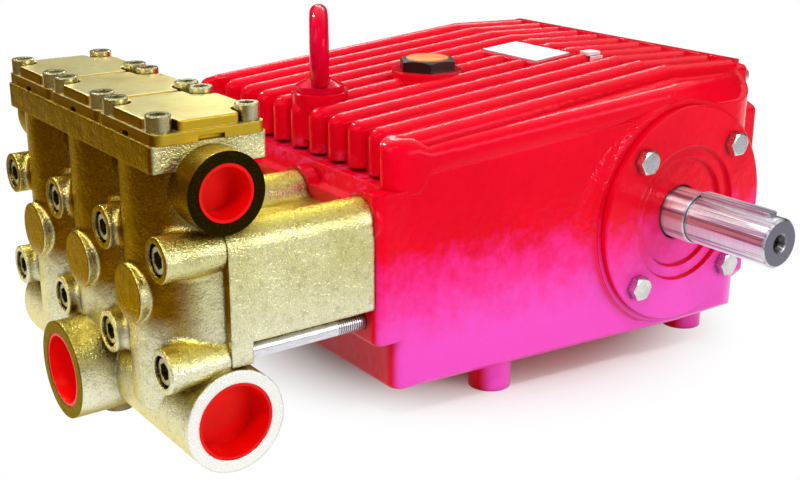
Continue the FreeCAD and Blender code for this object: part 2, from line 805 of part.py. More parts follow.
def make_crankcase():
    """The ribbed casting with flared sides, bearing bosses, front flange and four feet."""
    body = new_body("crankcase")
    corner = size("front_edge_radius")
    half = size("front_half_width")
    bottom = size("case_bottom")
    # Front flange that the plunger casing bolts to, over the set-back lower front
    flange_top = UPPER_Z + size("flange_rise")
    box_pad(body, "lower_front", "XY_Plane", corner * 2, half * 2, flange_top - bottom,
            across=LOWER_FRONT_X + corner, out=bottom)
    box_pad(body, "front_flange_block", "XY_Plane", LOWER_FRONT_X + corner - CASE_X, half * 2,
            flange_top - size("flange_bottom"), across=(LOWER_FRONT_X + corner + CASE_X) / 2,
            out=size("flange_bottom"))
    for name, station, radius in (("lower_front_corners", LOWER_FRONT_X, corner),
                                  ("flange_corners", CASE_X, size("flange_corner"))):
        round_edges(body, name, radius,
                    lambda edge: runs_along(edge, 2) and lies_at(edge, 0, station))
    for name, station, height in (("lower_front_foot", LOWER_FRONT_X, bottom),
                                  ("flange_foot", CASE_X, size("flange_bottom"))):
        round_edges(body, name, size("bottom_edge_radius"),
                    lambda edge: (runs_along(edge, 1) and lies_at(edge, 0, station)
                                  and lies_at(edge, 2, height)))
    front = case_section(body, "front_section", LOWER_FRONT_X + corner, half,
                         size("front_floor_height"))
    kink = case_section(body, "kink_section", size("kink_back"), size("rear_half_width"),
                        size("kink_floor_height"))
    rear = case_section(body, "rear_section", CASE_END_X, size("rear_half_width"),
                        size("rear_floor_height"))
    shell = body.newObject("PartDesign::AdditiveLoft", "case_loft")
    shell.Profile = front
    shell.Sections = [kink, rear]
    shell.Ruled = True
    # Large round corners of the plan at the rear
    top = size("kink_floor_height") + size("rib_height")
    for side, sign in (("near", -1), ("far", 1)):
        cut = add_sketch(body, side + "_rear_corner", "XY_Plane",
                         up=size("rear_half_width") * sign, across=CASE_END_X, out=top)
        draw_corner(cut, size("corner_radius"), sign)
        pocket(body, cut, top)
    cut_front_slope(body, flange_top)
    round_pad(body, "stud_collars", "YZ_Plane", size("hump_radius") + size("collar_wall"),
              size("collar_depth"), spots=[(y, UPPER_Z) for y in BOLT_YS], out=CASE_X)
    post_y = half - size("front_corner_radius")
    round_pad(body, "front_corners", "XY_Plane", size("front_corner_radius"),
              size("front_floor_height") - size("flange_bottom"),
              spots=[(CASE_X + size("front_corner_back"), y) for y in (-post_y, post_y)],
              out=size("flange_bottom"))
    make_bearing_bosses(body)
    round_pad(body, "feet", "XY_Plane", size("foot_radius"), size("case_bottom") + size("case_root"),
              spots=FOOT_SPOTS)
    flange = add_sketch(body, "rear_flange", "YZ_Plane", out=CASE_END_X)
    draw_outline(flange, rear_outline())
    pad(body, flange, size("rear_flange_thickness"), backwards=True)
    make_top_ribs(body)
    make_case_bosses(body)
    make_case_holes(body)
    return body


def cut_front_slope(body, flange_top):
    """Cuts the step between the ribs' front ends and the flange, sloping down between the corners."""
    corner_x = CASE_X + size("front_corner_back")
    corner_y = size("front_half_width") - size("front_corner_radius")
    margin = size("flange_corner")
    front = CASE_X - margin
    above = size("kink_floor_height")
    shelf = UPPER_Z + size("shelf_rise")
    shelf_x = CASE_X + size("collar_depth")
    slope = add_sketch(body, "front_slope", "XZ_Plane", out=corner_y)
    draw_outline(slope, [(front, shelf), (shelf_x, shelf),
                         (shelf_x + size("slope_run"), size("lobe_foot")),
                         (corner_x, size("lobe_foot")), (corner_x, above), (front, above)])
    pocket(body, slope, corner_y * 2)
    # Over the flange's ends only the round corner posts stay
    sides = add_sketch(body, "corner_shelf", "XZ_Plane", out=size("rear_half_width"))
    draw_outline(sides, [(front, flange_top), (corner_x, flange_top), (corner_x, above),
                         (front, above)])
    pocket(body, sides, size("rear_half_width") * 2)


def make_bearing_bosses(body):
    """A round boss on each side for the bearing covers, spreading towards the case's side."""
    for side, sign in (("near", 1), ("far", -1)):
        boss = round_pad(body, side + "_bearing_boss", "XZ_Plane", size("bearing_boss_radius"),
                         size("bearing_boss_depth"), spots=[(SHAFT_X, AXIS_Z)],
                         out=size("cover_seat") * sign, backwards=sign > 0)
        bind(boss, "TaperAngle", size("boss_draft"))
    # The bosses end flush with the rear face
    trim = add_sketch(body, "rear_face", "YZ_Plane", up=AXIS_Z, out=CASE_END_X)
    draw_box(trim, size("rear_half_width") * 2, size("rear_half_width") * 2)
    pocket(body, trim, size("corner_radius"), backwards=True)


def make_case_bosses(body):
    """Round bosses on the ribbed top for the lifting eye and the oil filler, and a plate seat."""
    base = size("front_floor_height") - size("case_root")
    for name, radius, front, seat in (
            ("eye_boss", size("eye_boss_radius"), size("eye_front"), size("eye_seat")),
            ("filler_boss", size("filler_boss_radius"), size("filler_front"),
             size("filler_seat"))):
        round_pad(body, name, "XY_Plane", radius, seat - base, spots=[(-front, 0)], out=base)
    make_plate_pad(body)


def make_plate_pad(body):
    """A pad for the bare plate, as steep as the floor and a little lower than the ribs' tops."""
    reach = size("plate_length") / 2 + size("plate_frame")
    width = size("plate_width") + size("plate_frame") * 2
    front = size("plate_back") - reach
    back = size("plate_back") + reach
    level = size("plate_rise")
    block = add_sketch(body, "plate_pad", "XZ_Plane", out=-size("plate_offset") - width / 2)
    draw_outline(block, [(front, floor_at(front) - size("rib_root")),
                         (back, floor_at(back) - size("rib_root")),
                         (back, floor_at(back) + level), (front, floor_at(front) + level)])
    pad(body, block, width)
    seat = add_sketch(body, "plate_recess", "XZ_Plane", out=width / 2 - size("plate_offset"))
    above = level + size("rib_height")
    draw_outline(seat, [(front, floor_at(front) + level), (back, floor_at(back) + level),
                        (back, floor_at(back) + above), (front, floor_at(front) + above)])
    pocket(body, seat, width)


def make_case_holes(body):
    """Bores for the shaft and covers, and the tapped holes of everything that is screwed in."""
    spare = size("hole_spare")
    grip = size("thread_grip") + spare
    for side, sign in (("near", 1), ("far", -1)):
        out = size("cover_seat") * sign
        round_pocket(body, side + "_housing", "XZ_Plane",
                     size("spigot_radius") + size("spigot_gap"), size("spigot_length") + spare,
                     spots=[(SHAFT_X, AXIS_Z)], out=out, backwards=sign < 0)
        round_pocket(body, side + "_cover_tappings", "XZ_Plane", size("cover_bolt_radius"), grip,
                     spots=cover_bolt_spots(), out=out, backwards=sign < 0)
    round_pocket(body, "shaft_bore", "XZ_Plane", size("journal_radius") + size("running_gap"),
                 size("cover_seat") - size("journal_start") + size("journal_room"),
                 spots=[(SHAFT_X, AXIS_Z)], out=size("cover_seat"))
    round_pocket(body, "stud_tappings", "YZ_Plane", size("stud_radius"), grip, spots=STUD_SPOTS,
                 out=CASE_X, backwards=True)
    round_pocket(body, "foot_threads", "XY_Plane", size("foot_thread_radius"),
                 size("foot_thread_depth"), spots=FOOT_SPOTS, backwards=True)
    round_pocket(body, "eye_tapping", "XY_Plane", size("eye_shank_radius"),
                 size("eye_shank_length") + spare, spots=[(-size("eye_front"), 0)],
                 out=size("eye_seat"))
    round_pocket(body, "filler_tapping", "XY_Plane", size("filler_thread_radius"),
                 size("filler_thread_length") + spare, spots=[(-size("filler_front"), 0)],
                 out=size("filler_seat"))
    round_pocket(body, "rear_tappings", "YZ_Plane", size("rear_screw_radius"), grip,
                 spots=rear_screw_places(), out=CASE_END_X)


def bolt_corners():
    """The four bolt places of a bearing cover, from its centre."""
    offset = size("cover_bolt_circle") / math.sqrt(2)
    return [(offset * sign_x, offset * sign_y) for sign_x, sign_y in CORNER_SIGNS]


def cover_bolt_spots():
    """The same places on the crankcase, in X and Z."""
    return [(SHAFT_X + across, AXIS_Z + up) for across, up in bolt_corners()]


def draw_corner(sketch, radius, sign):
    """Draws what lies outside a quarter circle in the corner of two straight sides."""
    reach = radius.number
    middle = Vector(-reach, -sign * reach, 0)
    outer = Part.LineSegment(Vector(-reach, 0, 0), Vector(0, 0, 0))
    inner = Part.LineSegment(Vector(0, 0, 0), Vector(0, -sign * reach, 0))
    angles = (0, math.pi / 2) if sign > 0 else (-math.pi / 2, 0)
    arc = Part.ArcOfCircle(Part.Circle(middle, Vector(0, 0, 1), reach), *angles)
    sketch.addGeometry([outer, inner, arc])
    start, end = (1, 2) if sign > 0 else (2, 1)
    for constraint in (
            Sketcher.Constraint("Coincident", 0, 2, -1, 1),
            Sketcher.Constraint("Coincident", 1, 1, -1, 1),
            Sketcher.Constraint("Horizontal", 0),
            Sketcher.Constraint("Vertical", 1),
            Sketcher.Constraint("Tangent", 2, start, 1, 2),
            Sketcher.Constraint("Tangent", 2, end, 0, 1)):
        sketch.addConstraint(constraint)
    index = sketch.addConstraint(Sketcher.Constraint("Radius", 2, reach))
    name_size(sketch, index, "corner", radius)


def make_top_ribs(body):
    """Round-topped ribs in a row, from their lobes at the front over the kink to the rear rim."""
    start_x = CASE_X + size("rib_start")
    kink_x = size("kink_back")
    rim_x = CASE_END_X - size("rim_thickness")
    fall = size("rear_floor_height") - size("kink_floor_height")
    rear_slope = fall / (size("case_back") - size("kink_back"))
    first_y = size("rib_pitch") * (size("rib_count") - 1) / -2
    length = size("rib_pitch") * (size("rib_count") - 1)
    radius = size("rib_width") / 2
    # Height of the middle of the rib's round top above the floor
    rise = size("rib_height") - radius
    for name, station, floor, run, slope in (
            ("front_rib", start_x, floor_at(start_x), kink_x - start_x, floor_slope()),
            ("rear_rib", kink_x, size("kink_floor_height"), rim_x - kink_x, rear_slope)):
        sketch = add_sketch(body, name, "YZ_Plane", across=first_y, up=floor + rise, out=station)
        draw_arch(sketch, radius, rise + size("rib_root"))
        rib = pad(body, sketch, run)
        rib.UseCustomVector = True
        rib.AlongSketchNormal = True
        rib.Direction = Vector(1, 0, slope.number)
        bind(rib, "Direction.z", slope)
        row_of(body, rib, "Y_Axis", length, size("rib_count"))
    # Each rib turns down at its front end into a round lobe
    dome = add_sketch(body, "rib_lobe", "XZ_Plane", across=start_x,
                      up=floor_at(start_x) + rise, out=-first_y)
    draw_dome(dome, radius, floor_at(start_x) + rise - size("lobe_foot") + size("lobe_root"))
    lobe = body.newObject("PartDesign::Revolution", "rib_lobe_turned")
    lobe.Profile = dome
    lobe.ReferenceAxis = (dome, ["V_Axis"])
    lobe.Angle = 360
    dome.Visibility = False
    row_of(body, lobe, "Y_Axis", length, size("rib_count"))
    # Low rim that the ribs run into at the rear
    rim_top = size("rear_floor_height") + size("rib_height")
    box_pad(body, "rear_rim", "XY_Plane", size("rim_thickness"),
            size("rear_neck_half_width") * 2, size("rib_height") + size("rib_root"),
            across=rim_x + size("rim_thickness") / 2,
            out=rim_top - size("rib_height") - size("rib_root"))


def draw_arch(sketch, radius, depth):
    """Draws a half circle about the sketch's origin with straight sides down to a level foot."""
    reach = radius.number
    foot = -depth.number
    sketch.addGeometry([
        Part.ArcOfCircle(Part.Circle(Vector(0, 0, 0), Vector(0, 0, 1), reach), 0, math.pi),
        Part.LineSegment(Vector(-reach, 0, 0), Vector(-reach, foot, 0)),
        Part.LineSegment(Vector(-reach, foot, 0), Vector(reach, foot, 0)),
        Part.LineSegment(Vector(reach, foot, 0), Vector(reach, 0, 0))])
    for constraint in (
            Sketcher.Constraint("Coincident", 0, 3, -1, 1),
            Sketcher.Constraint("Tangent", 0, 2, 1, 1),
            Sketcher.Constraint("Coincident", 1, 2, 2, 1),
            Sketcher.Constraint("Coincident", 2, 2, 3, 1),
            Sketcher.Constraint("Tangent", 3, 2, 0, 1),
            Sketcher.Constraint("Vertical", 1),
            Sketcher.Constraint("Horizontal", 2)):
        sketch.addConstraint(constraint)
    index = sketch.addConstraint(Sketcher.Constraint("Radius", 0, reach))
    name_size(sketch, index, "top_radius", radius)
    index = sketch.addConstraint(Sketcher.Constraint("DistanceY", 1, 2, -1, 1, depth.number))
    name_size(sketch, index, "depth", depth)


def draw_dome(sketch, radius, depth):
    """Draws a quarter circle right of the upright axis, with a straight side down to its foot."""
    reach = radius.number
    foot = -depth.number
    sketch.addGeometry([
        Part.ArcOfCircle(Part.Circle(Vector(0, 0, 0), Vector(0, 0, 1), reach), 0, math.pi / 2),
        Part.LineSegment(Vector(0, reach, 0), Vector(0, foot, 0)),
        Part.LineSegment(Vector(0, foot, 0), Vector(reach, foot, 0)),
        Part.LineSegment(Vector(reach, foot, 0), Vector(reach, 0, 0))])
    for constraint in (
            Sketcher.Constraint("Coincident", 0, 3, -1, 1),
            Sketcher.Constraint("Coincident", 0, 2, 1, 1),
            Sketcher.Constraint("Coincident", 1, 2, 2, 1),
            Sketcher.Constraint("Coincident", 2, 2, 3, 1),
            Sketcher.Constraint("Tangent", 3, 2, 0, 1),
            Sketcher.Constraint("Vertical", 1),
            Sketcher.Constraint("PointOnObject", 0, 2, -2),
            Sketcher.Constraint("Horizontal", 2)):
        sketch.addConstraint(constraint)
    index = sketch.addConstraint(Sketcher.Constraint("Radius", 0, reach))
    name_size(sketch, index, "nose_radius", radius)
    index = sketch.addConstraint(Sketcher.Constraint("DistanceY", 1, 2, -1, 1, depth.number))
    name_size(sketch, index, "depth", depth)


# Shaft and bearing covers

def make_bearing_cover(label, rotation, along, opening):
    """A round cover with a spigot and a stepped recess; the drive side is open for the shaft."""
    body = new_body(label)
    rim = size("bearing_cover_thickness")
    edge = size("cover_edge_chamfer")
    spigot = size("spigot_length")
    slope = size("recess_slope")
    floor = rim - size("recess_depth")
    outline = [(size("spigot_radius"), -spigot), (size("spigot_radius"), 0),
               (size("bearing_cover_radius"), 0), (size("bearing_cover_radius"), rim - edge),
               (size("bearing_cover_radius") - edge, rim), (size("hub_radius"), rim),
               (size("hub_radius") - slope, floor)]
    if opening:
        # The wall in front of the seal comes close to the shaft
        opening_radius = size("shoulder_radius") + size("opening_gap")
        wall = floor - size("recess_depth")
        seat = size("seal_width") - spigot
        outline += [(size("recess_radius"), floor), (size("recess_radius") - slope, wall),
                    (opening_radius, wall), (opening_radius, seat), (size("seal_radius"), seat),
                    (size("seal_radius"), -spigot)]
    else:
        outline += [(0, floor), (0, -spigot)]
    revolve(body, label + "_section", outline)
    round_pocket(body, label + "_bolt_holes", "XY_Plane",
                 size("cover_bolt_radius") + size("screw_gap"), rim,
                 spots=bolt_corners(), out=rim)
    place(body, rotation, SHAFT_X, along, AXIS_Z)
    return body


def make_cover_bolts():
    """Four hexagon bolts on each bearing cover, their corners chamfered."""
    body = doc.addObject("PartDesign::Body", "hexagon_bolt")
    height = size("hex_height")
    chamfer = size("hex_chamfer")
    round_pad(body, "hexagon_bolt_shank", "XY_Plane", size("cover_bolt_radius"),
              size("thread_grip"), out=-size("thread_grip"))
    head = add_sketch(body, "hexagon_bolt_head", "XY_Plane")
    draw_hexagon(head, size("hex_across_flats"))
    pad(body, head, height)
    chamfer_hexagon(body, "hexagon_bolt_corners", size("hex_across_flats"), height, chamfer)
    doc.recompute()
    reach = size("cover_seat") + size("bearing_cover_thickness")
    for label, rotation, along in (("drive_cover_bolts", NEAR_SIDE, -reach),
                                   ("far_cover_bolts", FAR_SIDE, reach)):
        copies(label, body.Shape, rotation, [(x, along, z) for x, z in cover_bolt_spots()])


def chamfer_hexagon(body, name, across_flats, height, chamfer):
    """Turns the corners off a hexagon head's top, down to a circle inside its flats."""
    inner = across_flats / 2 - chamfer / 2
    outer = across_flats
    drop = (outer - inner) * math.tan(math.radians(25))
    revolve(body, name, [(inner, height), (outer, height), (outer, height - drop)], "Groove")


def make_shaft_seal():
    """The ring behind the cover's wall that the shaft's shoulder runs through."""
    body = new_body("shaft_seal")
    inner = size("shoulder_radius") + size("running_gap")
    bottom = -size("spigot_length")
    top = bottom + size("seal_width")
    lip = size("seal_lip")
    revolve(body, "seal_section", [(inner, bottom), (size("seal_radius"), bottom),
                                   (size("seal_radius"), top), (inner + lip, top),
                                   (inner, top - lip)])
    place(body, NEAR_SIDE, SHAFT_X, -size("cover_seat"), AXIS_Z)


def make_drive_shaft():
    """The crankshaft's drive end: journal, seal shoulder and keyed shaft end."""
    body = new_body("drive_shaft")
    chamfer = size("end_chamfer")
    shoulder_chamfer = size("shoulder_chamfer")
    shoulder = size("shoulder_end")
    radius = size("shaft_radius")
    relief = radius - size("relief_depth")
    end = size("shaft_end")
    centre = size("centre_hole_radius")
    revolve(body, "shaft_section", [
        (0, size("journal_start")), (size("journal_radius"), size("journal_start")),
        (size("journal_radius"), size("journal_end")),
        (size("shoulder_radius"), size("journal_end")),
        (size("shoulder_radius"), shoulder - shoulder_chamfer),
        (size("shoulder_radius") - shoulder_chamfer, shoulder), (relief, shoulder),
        (relief, shoulder + size("relief_width")), (radius, shoulder + size("relief_width")),
        (radius, end - chamfer), (radius - chamfer, end), (size("centre_sink_radius"), end),
        (centre, end - size("centre_sink_depth")), (centre, end - size("centre_hole_depth")),
        (0, end - size("centre_hole_depth"))])
    keyway = add_sketch(body, "keyway", "XZ_Plane", up=key_middle(), out=-radius)
    draw_slot(keyway, size("key_length"), size("key_width"))
    pocket(body, keyway, size("key_seat"), backwards=True)
    place(body, NEAR_SIDE, SHAFT_X, 0, AXIS_Z)


def key_middle():
    """Distance of the key's middle from the shaft's own origin."""
    return size("shaft_end") - size("key_inset") - size("key_length") / 2


def draw_slot(sketch, length, width):
    """Draws an upright slot with round ends about the sketch's origin."""
    reach = (length - width).number / 2
    half = width.number / 2
    top = Part.ArcOfCircle(Part.Circle(Vector(0, reach, 0), Vector(0, 0, 1), half), 0, math.pi)
    bottom = Part.ArcOfCircle(Part.Circle(Vector(0, -reach, 0), Vector(0, 0, 1), half),
                              math.pi, math.pi * 2)
    left = Part.LineSegment(Vector(-half, reach, 0), Vector(-half, -reach, 0))
    right = Part.LineSegment(Vector(half, -reach, 0), Vector(half, reach, 0))
    sketch.addGeometry([top, bottom, left, right])
    for constraint in (
            Sketcher.Constraint("Tangent", 0, 2, 2, 1),
            Sketcher.Constraint("Tangent", 2, 2, 1, 1),
            Sketcher.Constraint("Tangent", 1, 2, 3, 1),
            Sketcher.Constraint("Tangent", 3, 2, 0, 1),
            Sketcher.Constraint("PointOnObject", 0, 3, -2),
            Sketcher.Constraint("Symmetric", 0, 3, 1, 3, -1, 1)):
        sketch.addConstraint(constraint)
    index = sketch.addConstraint(Sketcher.Constraint("Radius", 0, half))
    name_size(sketch, index, "end_radius", width / 2)
    index = sketch.addConstraint(Sketcher.Constraint("DistanceY", 1, 3, 0, 3, reach * 2))
    name_size(sketch, index, "run", length - width)


def make_shaft_key():
    """The round-ended key in the top of the shaft end."""
    body = new_body("shaft_key")
    sketch = add_sketch(body, "key_outline", "XY_Plane")
    draw_slot(sketch, size("key_length"), size("key_width"))
    pad(body, sketch, size("key_height"))
    place(body, UPRIGHT, SHAFT_X, -key_middle(),
          AXIS_Z + size("shaft_radius") - size("key_seat"))


# Fittings on the top

def make_lifting_eye():
    """A screwed lifting eye: ring, neck, collar and shank."""
    body = new_body("lifting_eye")
    collar = size("eye_collar_height")
    wire = size("eye_wire_radius")
    shank = size("eye_shank_radius")
    revolve(body, "eye_collar", [
        (0, -size("eye_shank_length")), (shank, -size("eye_shank_length")), (shank, 0),
        (size("eye_collar_radius"), 0), (size("eye_collar_radius"), collar / 2),
        (wire + size("eye_neck_spread"), collar), (0, collar)])
    sketch = add_sketch(body, "eye_wire", "XY_Plane",
                        out=collar + size("eye_ring_radius") - wire / 4)
    draw_circles(sketch, wire, [(size("eye_ring_radius"), 0)])
    ring = body.newObject("PartDesign::Revolution", "eye_ring")
    ring.Profile = sketch
    ring.ReferenceAxis = (sketch, ["V_Axis"])
    ring.Angle = 360
    place(body, Rotation(Vector(0, 0, 1), -size("eye_turn").number - 90),
          -size("eye_front"), 0, size("eye_seat"))
    return body


def make_oil_filler():
    """The hexagon filler plug and the round insert in its top."""
    body = new_body("oil_filler_plug")
    height = size("filler_height")
    round_pad(body, "filler_thread", "XY_Plane", size("filler_thread_radius"),
              size("filler_thread_length"), out=-size("filler_thread_length"))
    head = add_sketch(body, "filler_head", "XY_Plane")
    draw_hexagon(head, size("filler_hex"))
    pad(body, head, height)
    chamfer_hexagon(body, "filler_corners", size("filler_hex"), height, size("hex_chamfer"))
    round_pocket(body, "insert_seat", "XY_Plane", size("insert_radius"), size("insert_depth"),
                 out=height)
    place(body, UPRIGHT, -size("filler_front"), 0, size("filler_seat"))
    insert = new_body("filler_insert")
    round_pad(insert, "insert_disc", "XY_Plane", size("insert_radius"), size("insert_depth"))
    place(insert, UPRIGHT, -size("filler_front"), 0,
          size("filler_seat") + height - size("insert_depth"))


def make_name_plate():
    """The bare plate that lies on its sloping pad between the ribs."""
    body = new_body("bare_plate")
    box_pad(body, "plate_sheet", "XY_Plane", size("plate_length"), size("plate_width"),
            size("plate_thickness"))
    steepness = math.degrees(math.atan(floor_slope().number))
    place(body, Rotation(Vector(0, 1, 0), -steepness), size("plate_back"), size("plate_offset"),
          floor_at(size("plate_back")) + size("plate_rise"))


def floor_slope():
    """Rise of the floor between the ribs, from the front up to the kink."""
    rise = size("kink_floor_height") - size("front_floor_height")
    return rise / (size("kink_back") + size("lower_front_reach"))


def floor_at(back):
    """Height of the floor between the ribs, this far behind the feet's centre."""
    return size("kink_floor_height") - floor_slope() * (size("kink_back") - back)


# Rear cover

def rear_outline():
    """The outline of the rear flange and its cover: a neck at the top, wider below it."""
    neck = size("rear_neck_half_width")
    wide = size("rear_flange_half_width")
    side = [(neck, size("rear_cover_bottom")), (wide, size("rear_flange_bottom")),
            (wide, size("rear_flange_top")), (neck, size("rear_neck_bottom")),
            (neck, size("rear_cover_top"))]
    return side + [(-y, z) for y, z in reversed(side)]


def rear_screw_places():
    """Screw places round the edge of the rear cover, in Y and Z."""
    margin = size("rear_screw_margin")
    side = size("rear_neck_half_width") - margin
    low = size("rear_flange_bottom")
    high = size("rear_cover_top") - margin
    middle = (low + high) / 2
    inner = side / 3
    return [(-side, low), (-inner, low), (inner, low), (side, low), (side, middle),
            (side, high), (inner, high), (-inner, high), (-side, high), (-side, middle)]


def make_rear_cover():
    """The flat cover of the crankcase with upright ribs outside."""
    body = new_body("rear_cover")
    low = size("rear_flange_bottom")
    high = size("rear_cover_top")
    thickness = size("rear_cover_thickness")
    rib_height = size("rear_rib_height")
    face = CASE_END_X + thickness
    plate = add_sketch(body, "rear_plate", "YZ_Plane", out=CASE_END_X)
    draw_outline(plate, rear_outline())
    pad(body, plate, thickness)
    round_edges(body, "rear_plate_corners", size("rear_corner"),
                lambda edge: runs_along(edge, 0))
    inset = size("rear_screw_margin") * 2
    rib = box_pad(body, "rear_rib", "YZ_Plane", size("rear_rib_width"), high - low - inset * 2,
                  rib_height, across=size("rib_pitch") * (size("rear_rib_count") - 1) / -2,
                  up=(low + high) / 2, out=face)
    row_of(body, rib, "Y_Axis", size("rib_pitch") * (size("rear_rib_count") - 1),
           size("rear_rib_count"))
    for name, radius, height in (
            ("glass_boss", size("glass_radius") + size("glass_border"), size("glass_height")),
            ("drain_boss", size("drain_hex") / 2 + size("drain_border"), size("drain_height"))):
        round_pad(body, "rear_" + name, "YZ_Plane", radius, rib_height, spots=[(0, height)],
                  out=face)
    round_pocket(body, "drain_hole", "YZ_Plane", size("drain_radius"), size("thread_grip"),
                 spots=[(0, size("drain_height"))], out=face + rib_height)
    round_pocket(body, "rear_holes", "YZ_Plane", size("rear_screw_radius") + size("screw_gap"),
                 thickness, spots=rear_screw_places(), out=face)
    return body


def make_rear_fittings():
    """The oil level glass and the oil drain plug on the rear cover."""
    glass = new_body("oil_level_glass")
    round_pad(glass, "glass_disc", "XY_Plane", size("glass_radius"), size("fitting_thickness"))
    reach = CASE_END_X + size("rear_cover_thickness") + size("rear_rib_height")
    place(glass, ALONG_X, reach, 0, size("glass_height"))
    plug = new_body("oil_drain_plug")
    round_pad(plug, "drain_thread", "XY_Plane", size("drain_radius"), size("thread_grip"),
              out=-size("thread_grip"))
    head = add_sketch(plug, "drain_head", "XY_Plane")
    draw_hexagon(head, size("drain_hex"))
    pad(plug, head, size("fitting_thickness"))
    place(plug, ALONG_X, reach, 0, size("drain_height"))


def make_rear_screws():
    """Cap screws round the rear cover."""
    shape = cap_screw("rear_screw", size("rear_screw_radius"),
                      size("rear_cover_thickness") + size("thread_grip"),
                      size("rear_screw_head_radius"), size("rear_screw_head_height"),
                      size("rear_screw_hex"), size("screw_hex_depth"))
    seat = CASE_END_X + size("rear_cover_thickness")
    copies("rear_cover_screws", shape, ALONG_X, [(seat, y, z) for y, z in rear_screw_places()])


make_valve_casing()
for cover_number, cover_y in enumerate(PLUNGER_YS, start=1):
    make_valve_cover(cover_number, cover_y)
make_studs(size("thread_grip"))
make_cover_screws()
half_length = size("manifold_half_length")
make_port_plug("suction_plug_near", size("suction_bore"), NEAR_SIDE, MANIFOLD_X, -half_length,
               size("suction_height"))
make_port_plug("suction_plug_far", size("suction_bore"), FAR_SIDE, MANIFOLD_X, half_length,
               size("suction_height"))
make_port_plug("suction_plug_front", size("suction_bore"), TOWARDS_HEAD,
               FACE_X - size("front_port_proud"), 0, size("suction_height"))
make_port_plug("discharge_plug_near", size("discharge_bore"), NEAR_SIDE, MANIFOLD_X,
               -half_length, size("discharge_height"))
make_port_plug("discharge_plug_far", size("discharge_bore"), FAR_SIDE, MANIFOLD_X, half_length,
               size("discharge_height"))
make_plunger_casing()
make_crankcase()
make_bearing_cover("drive_side_cover", NEAR_SIDE, -size("cover_seat"), True)
make_bearing_cover("far_side_cover", FAR_SIDE, size("cover_seat"), False)
make_cover_bolts()
make_shaft_seal()
make_drive_shaft()
make_shaft_key()
make_lifting_eye()
make_oil_filler()
make_name_plate()
make_rear_cover()
make_rear_fittings()
make_rear_screws()
doc.recompute()

faults = [item.Name for item in doc.Objects
          if "Invalid" in item.State or "Error" in item.State]
faults += [node.Label for node in nodes if node.Shape.isNull() or not node.Shape.isValid()]
if faults:
    raise RuntimeError("These objects failed: " + ", ".join(faults))
os.makedirs("parts", exist_ok=True)
for node in nodes:
    node.Shape.exportStep(f"parts/{node.Label}.step")
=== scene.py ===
import json
import math

import bmesh
import bpy
from mathutils import Matrix, Vector


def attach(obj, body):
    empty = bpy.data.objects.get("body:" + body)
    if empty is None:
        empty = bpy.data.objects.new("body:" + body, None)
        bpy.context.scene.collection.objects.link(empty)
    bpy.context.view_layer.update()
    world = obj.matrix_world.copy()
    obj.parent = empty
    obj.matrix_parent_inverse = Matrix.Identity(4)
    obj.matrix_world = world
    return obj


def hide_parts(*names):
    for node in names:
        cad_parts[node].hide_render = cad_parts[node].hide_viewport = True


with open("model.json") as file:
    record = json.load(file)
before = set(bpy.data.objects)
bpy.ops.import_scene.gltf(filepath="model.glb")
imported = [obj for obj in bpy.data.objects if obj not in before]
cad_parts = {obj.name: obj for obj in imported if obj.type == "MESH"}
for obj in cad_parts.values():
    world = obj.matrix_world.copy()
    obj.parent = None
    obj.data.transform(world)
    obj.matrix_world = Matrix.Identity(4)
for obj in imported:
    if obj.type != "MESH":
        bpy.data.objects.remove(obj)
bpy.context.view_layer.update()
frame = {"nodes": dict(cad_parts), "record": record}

NODES = frame["nodes"]

# Places on the pump that the materials and pieces follow, in metres
SHAFT_X, AXIS_Z = 0.057, 0.131                      # the drive shaft's axis
CASE_FRONT, KINK_X = -0.217, 0.066                  # where the crankcase's side flares
FRONT_HALF, KINK_HALF = 0.159, 0.184                # its half widths at those two places
CORNER_X, CORNER_RADIUS = 0.1195, 0.040             # the crankcase's rear corner
CASE_REAR = CORNER_X + CORNER_RADIUS
FRONT_CREASE, KINK_CREASE, REAR_CREASE = 0.199, 0.2235, 0.220   # where side turns in to top
SIDE_PORT_Y, FRONT_PORT_X = 0.159, -0.4372          # the ports' sealing faces
STUD_HEAD_X, STUD_THREAD_X = -0.400, -0.2720        # where the long studs change


# Node helpers

def dimmed(colour, share):
    return tuple(part * share for part in colour)


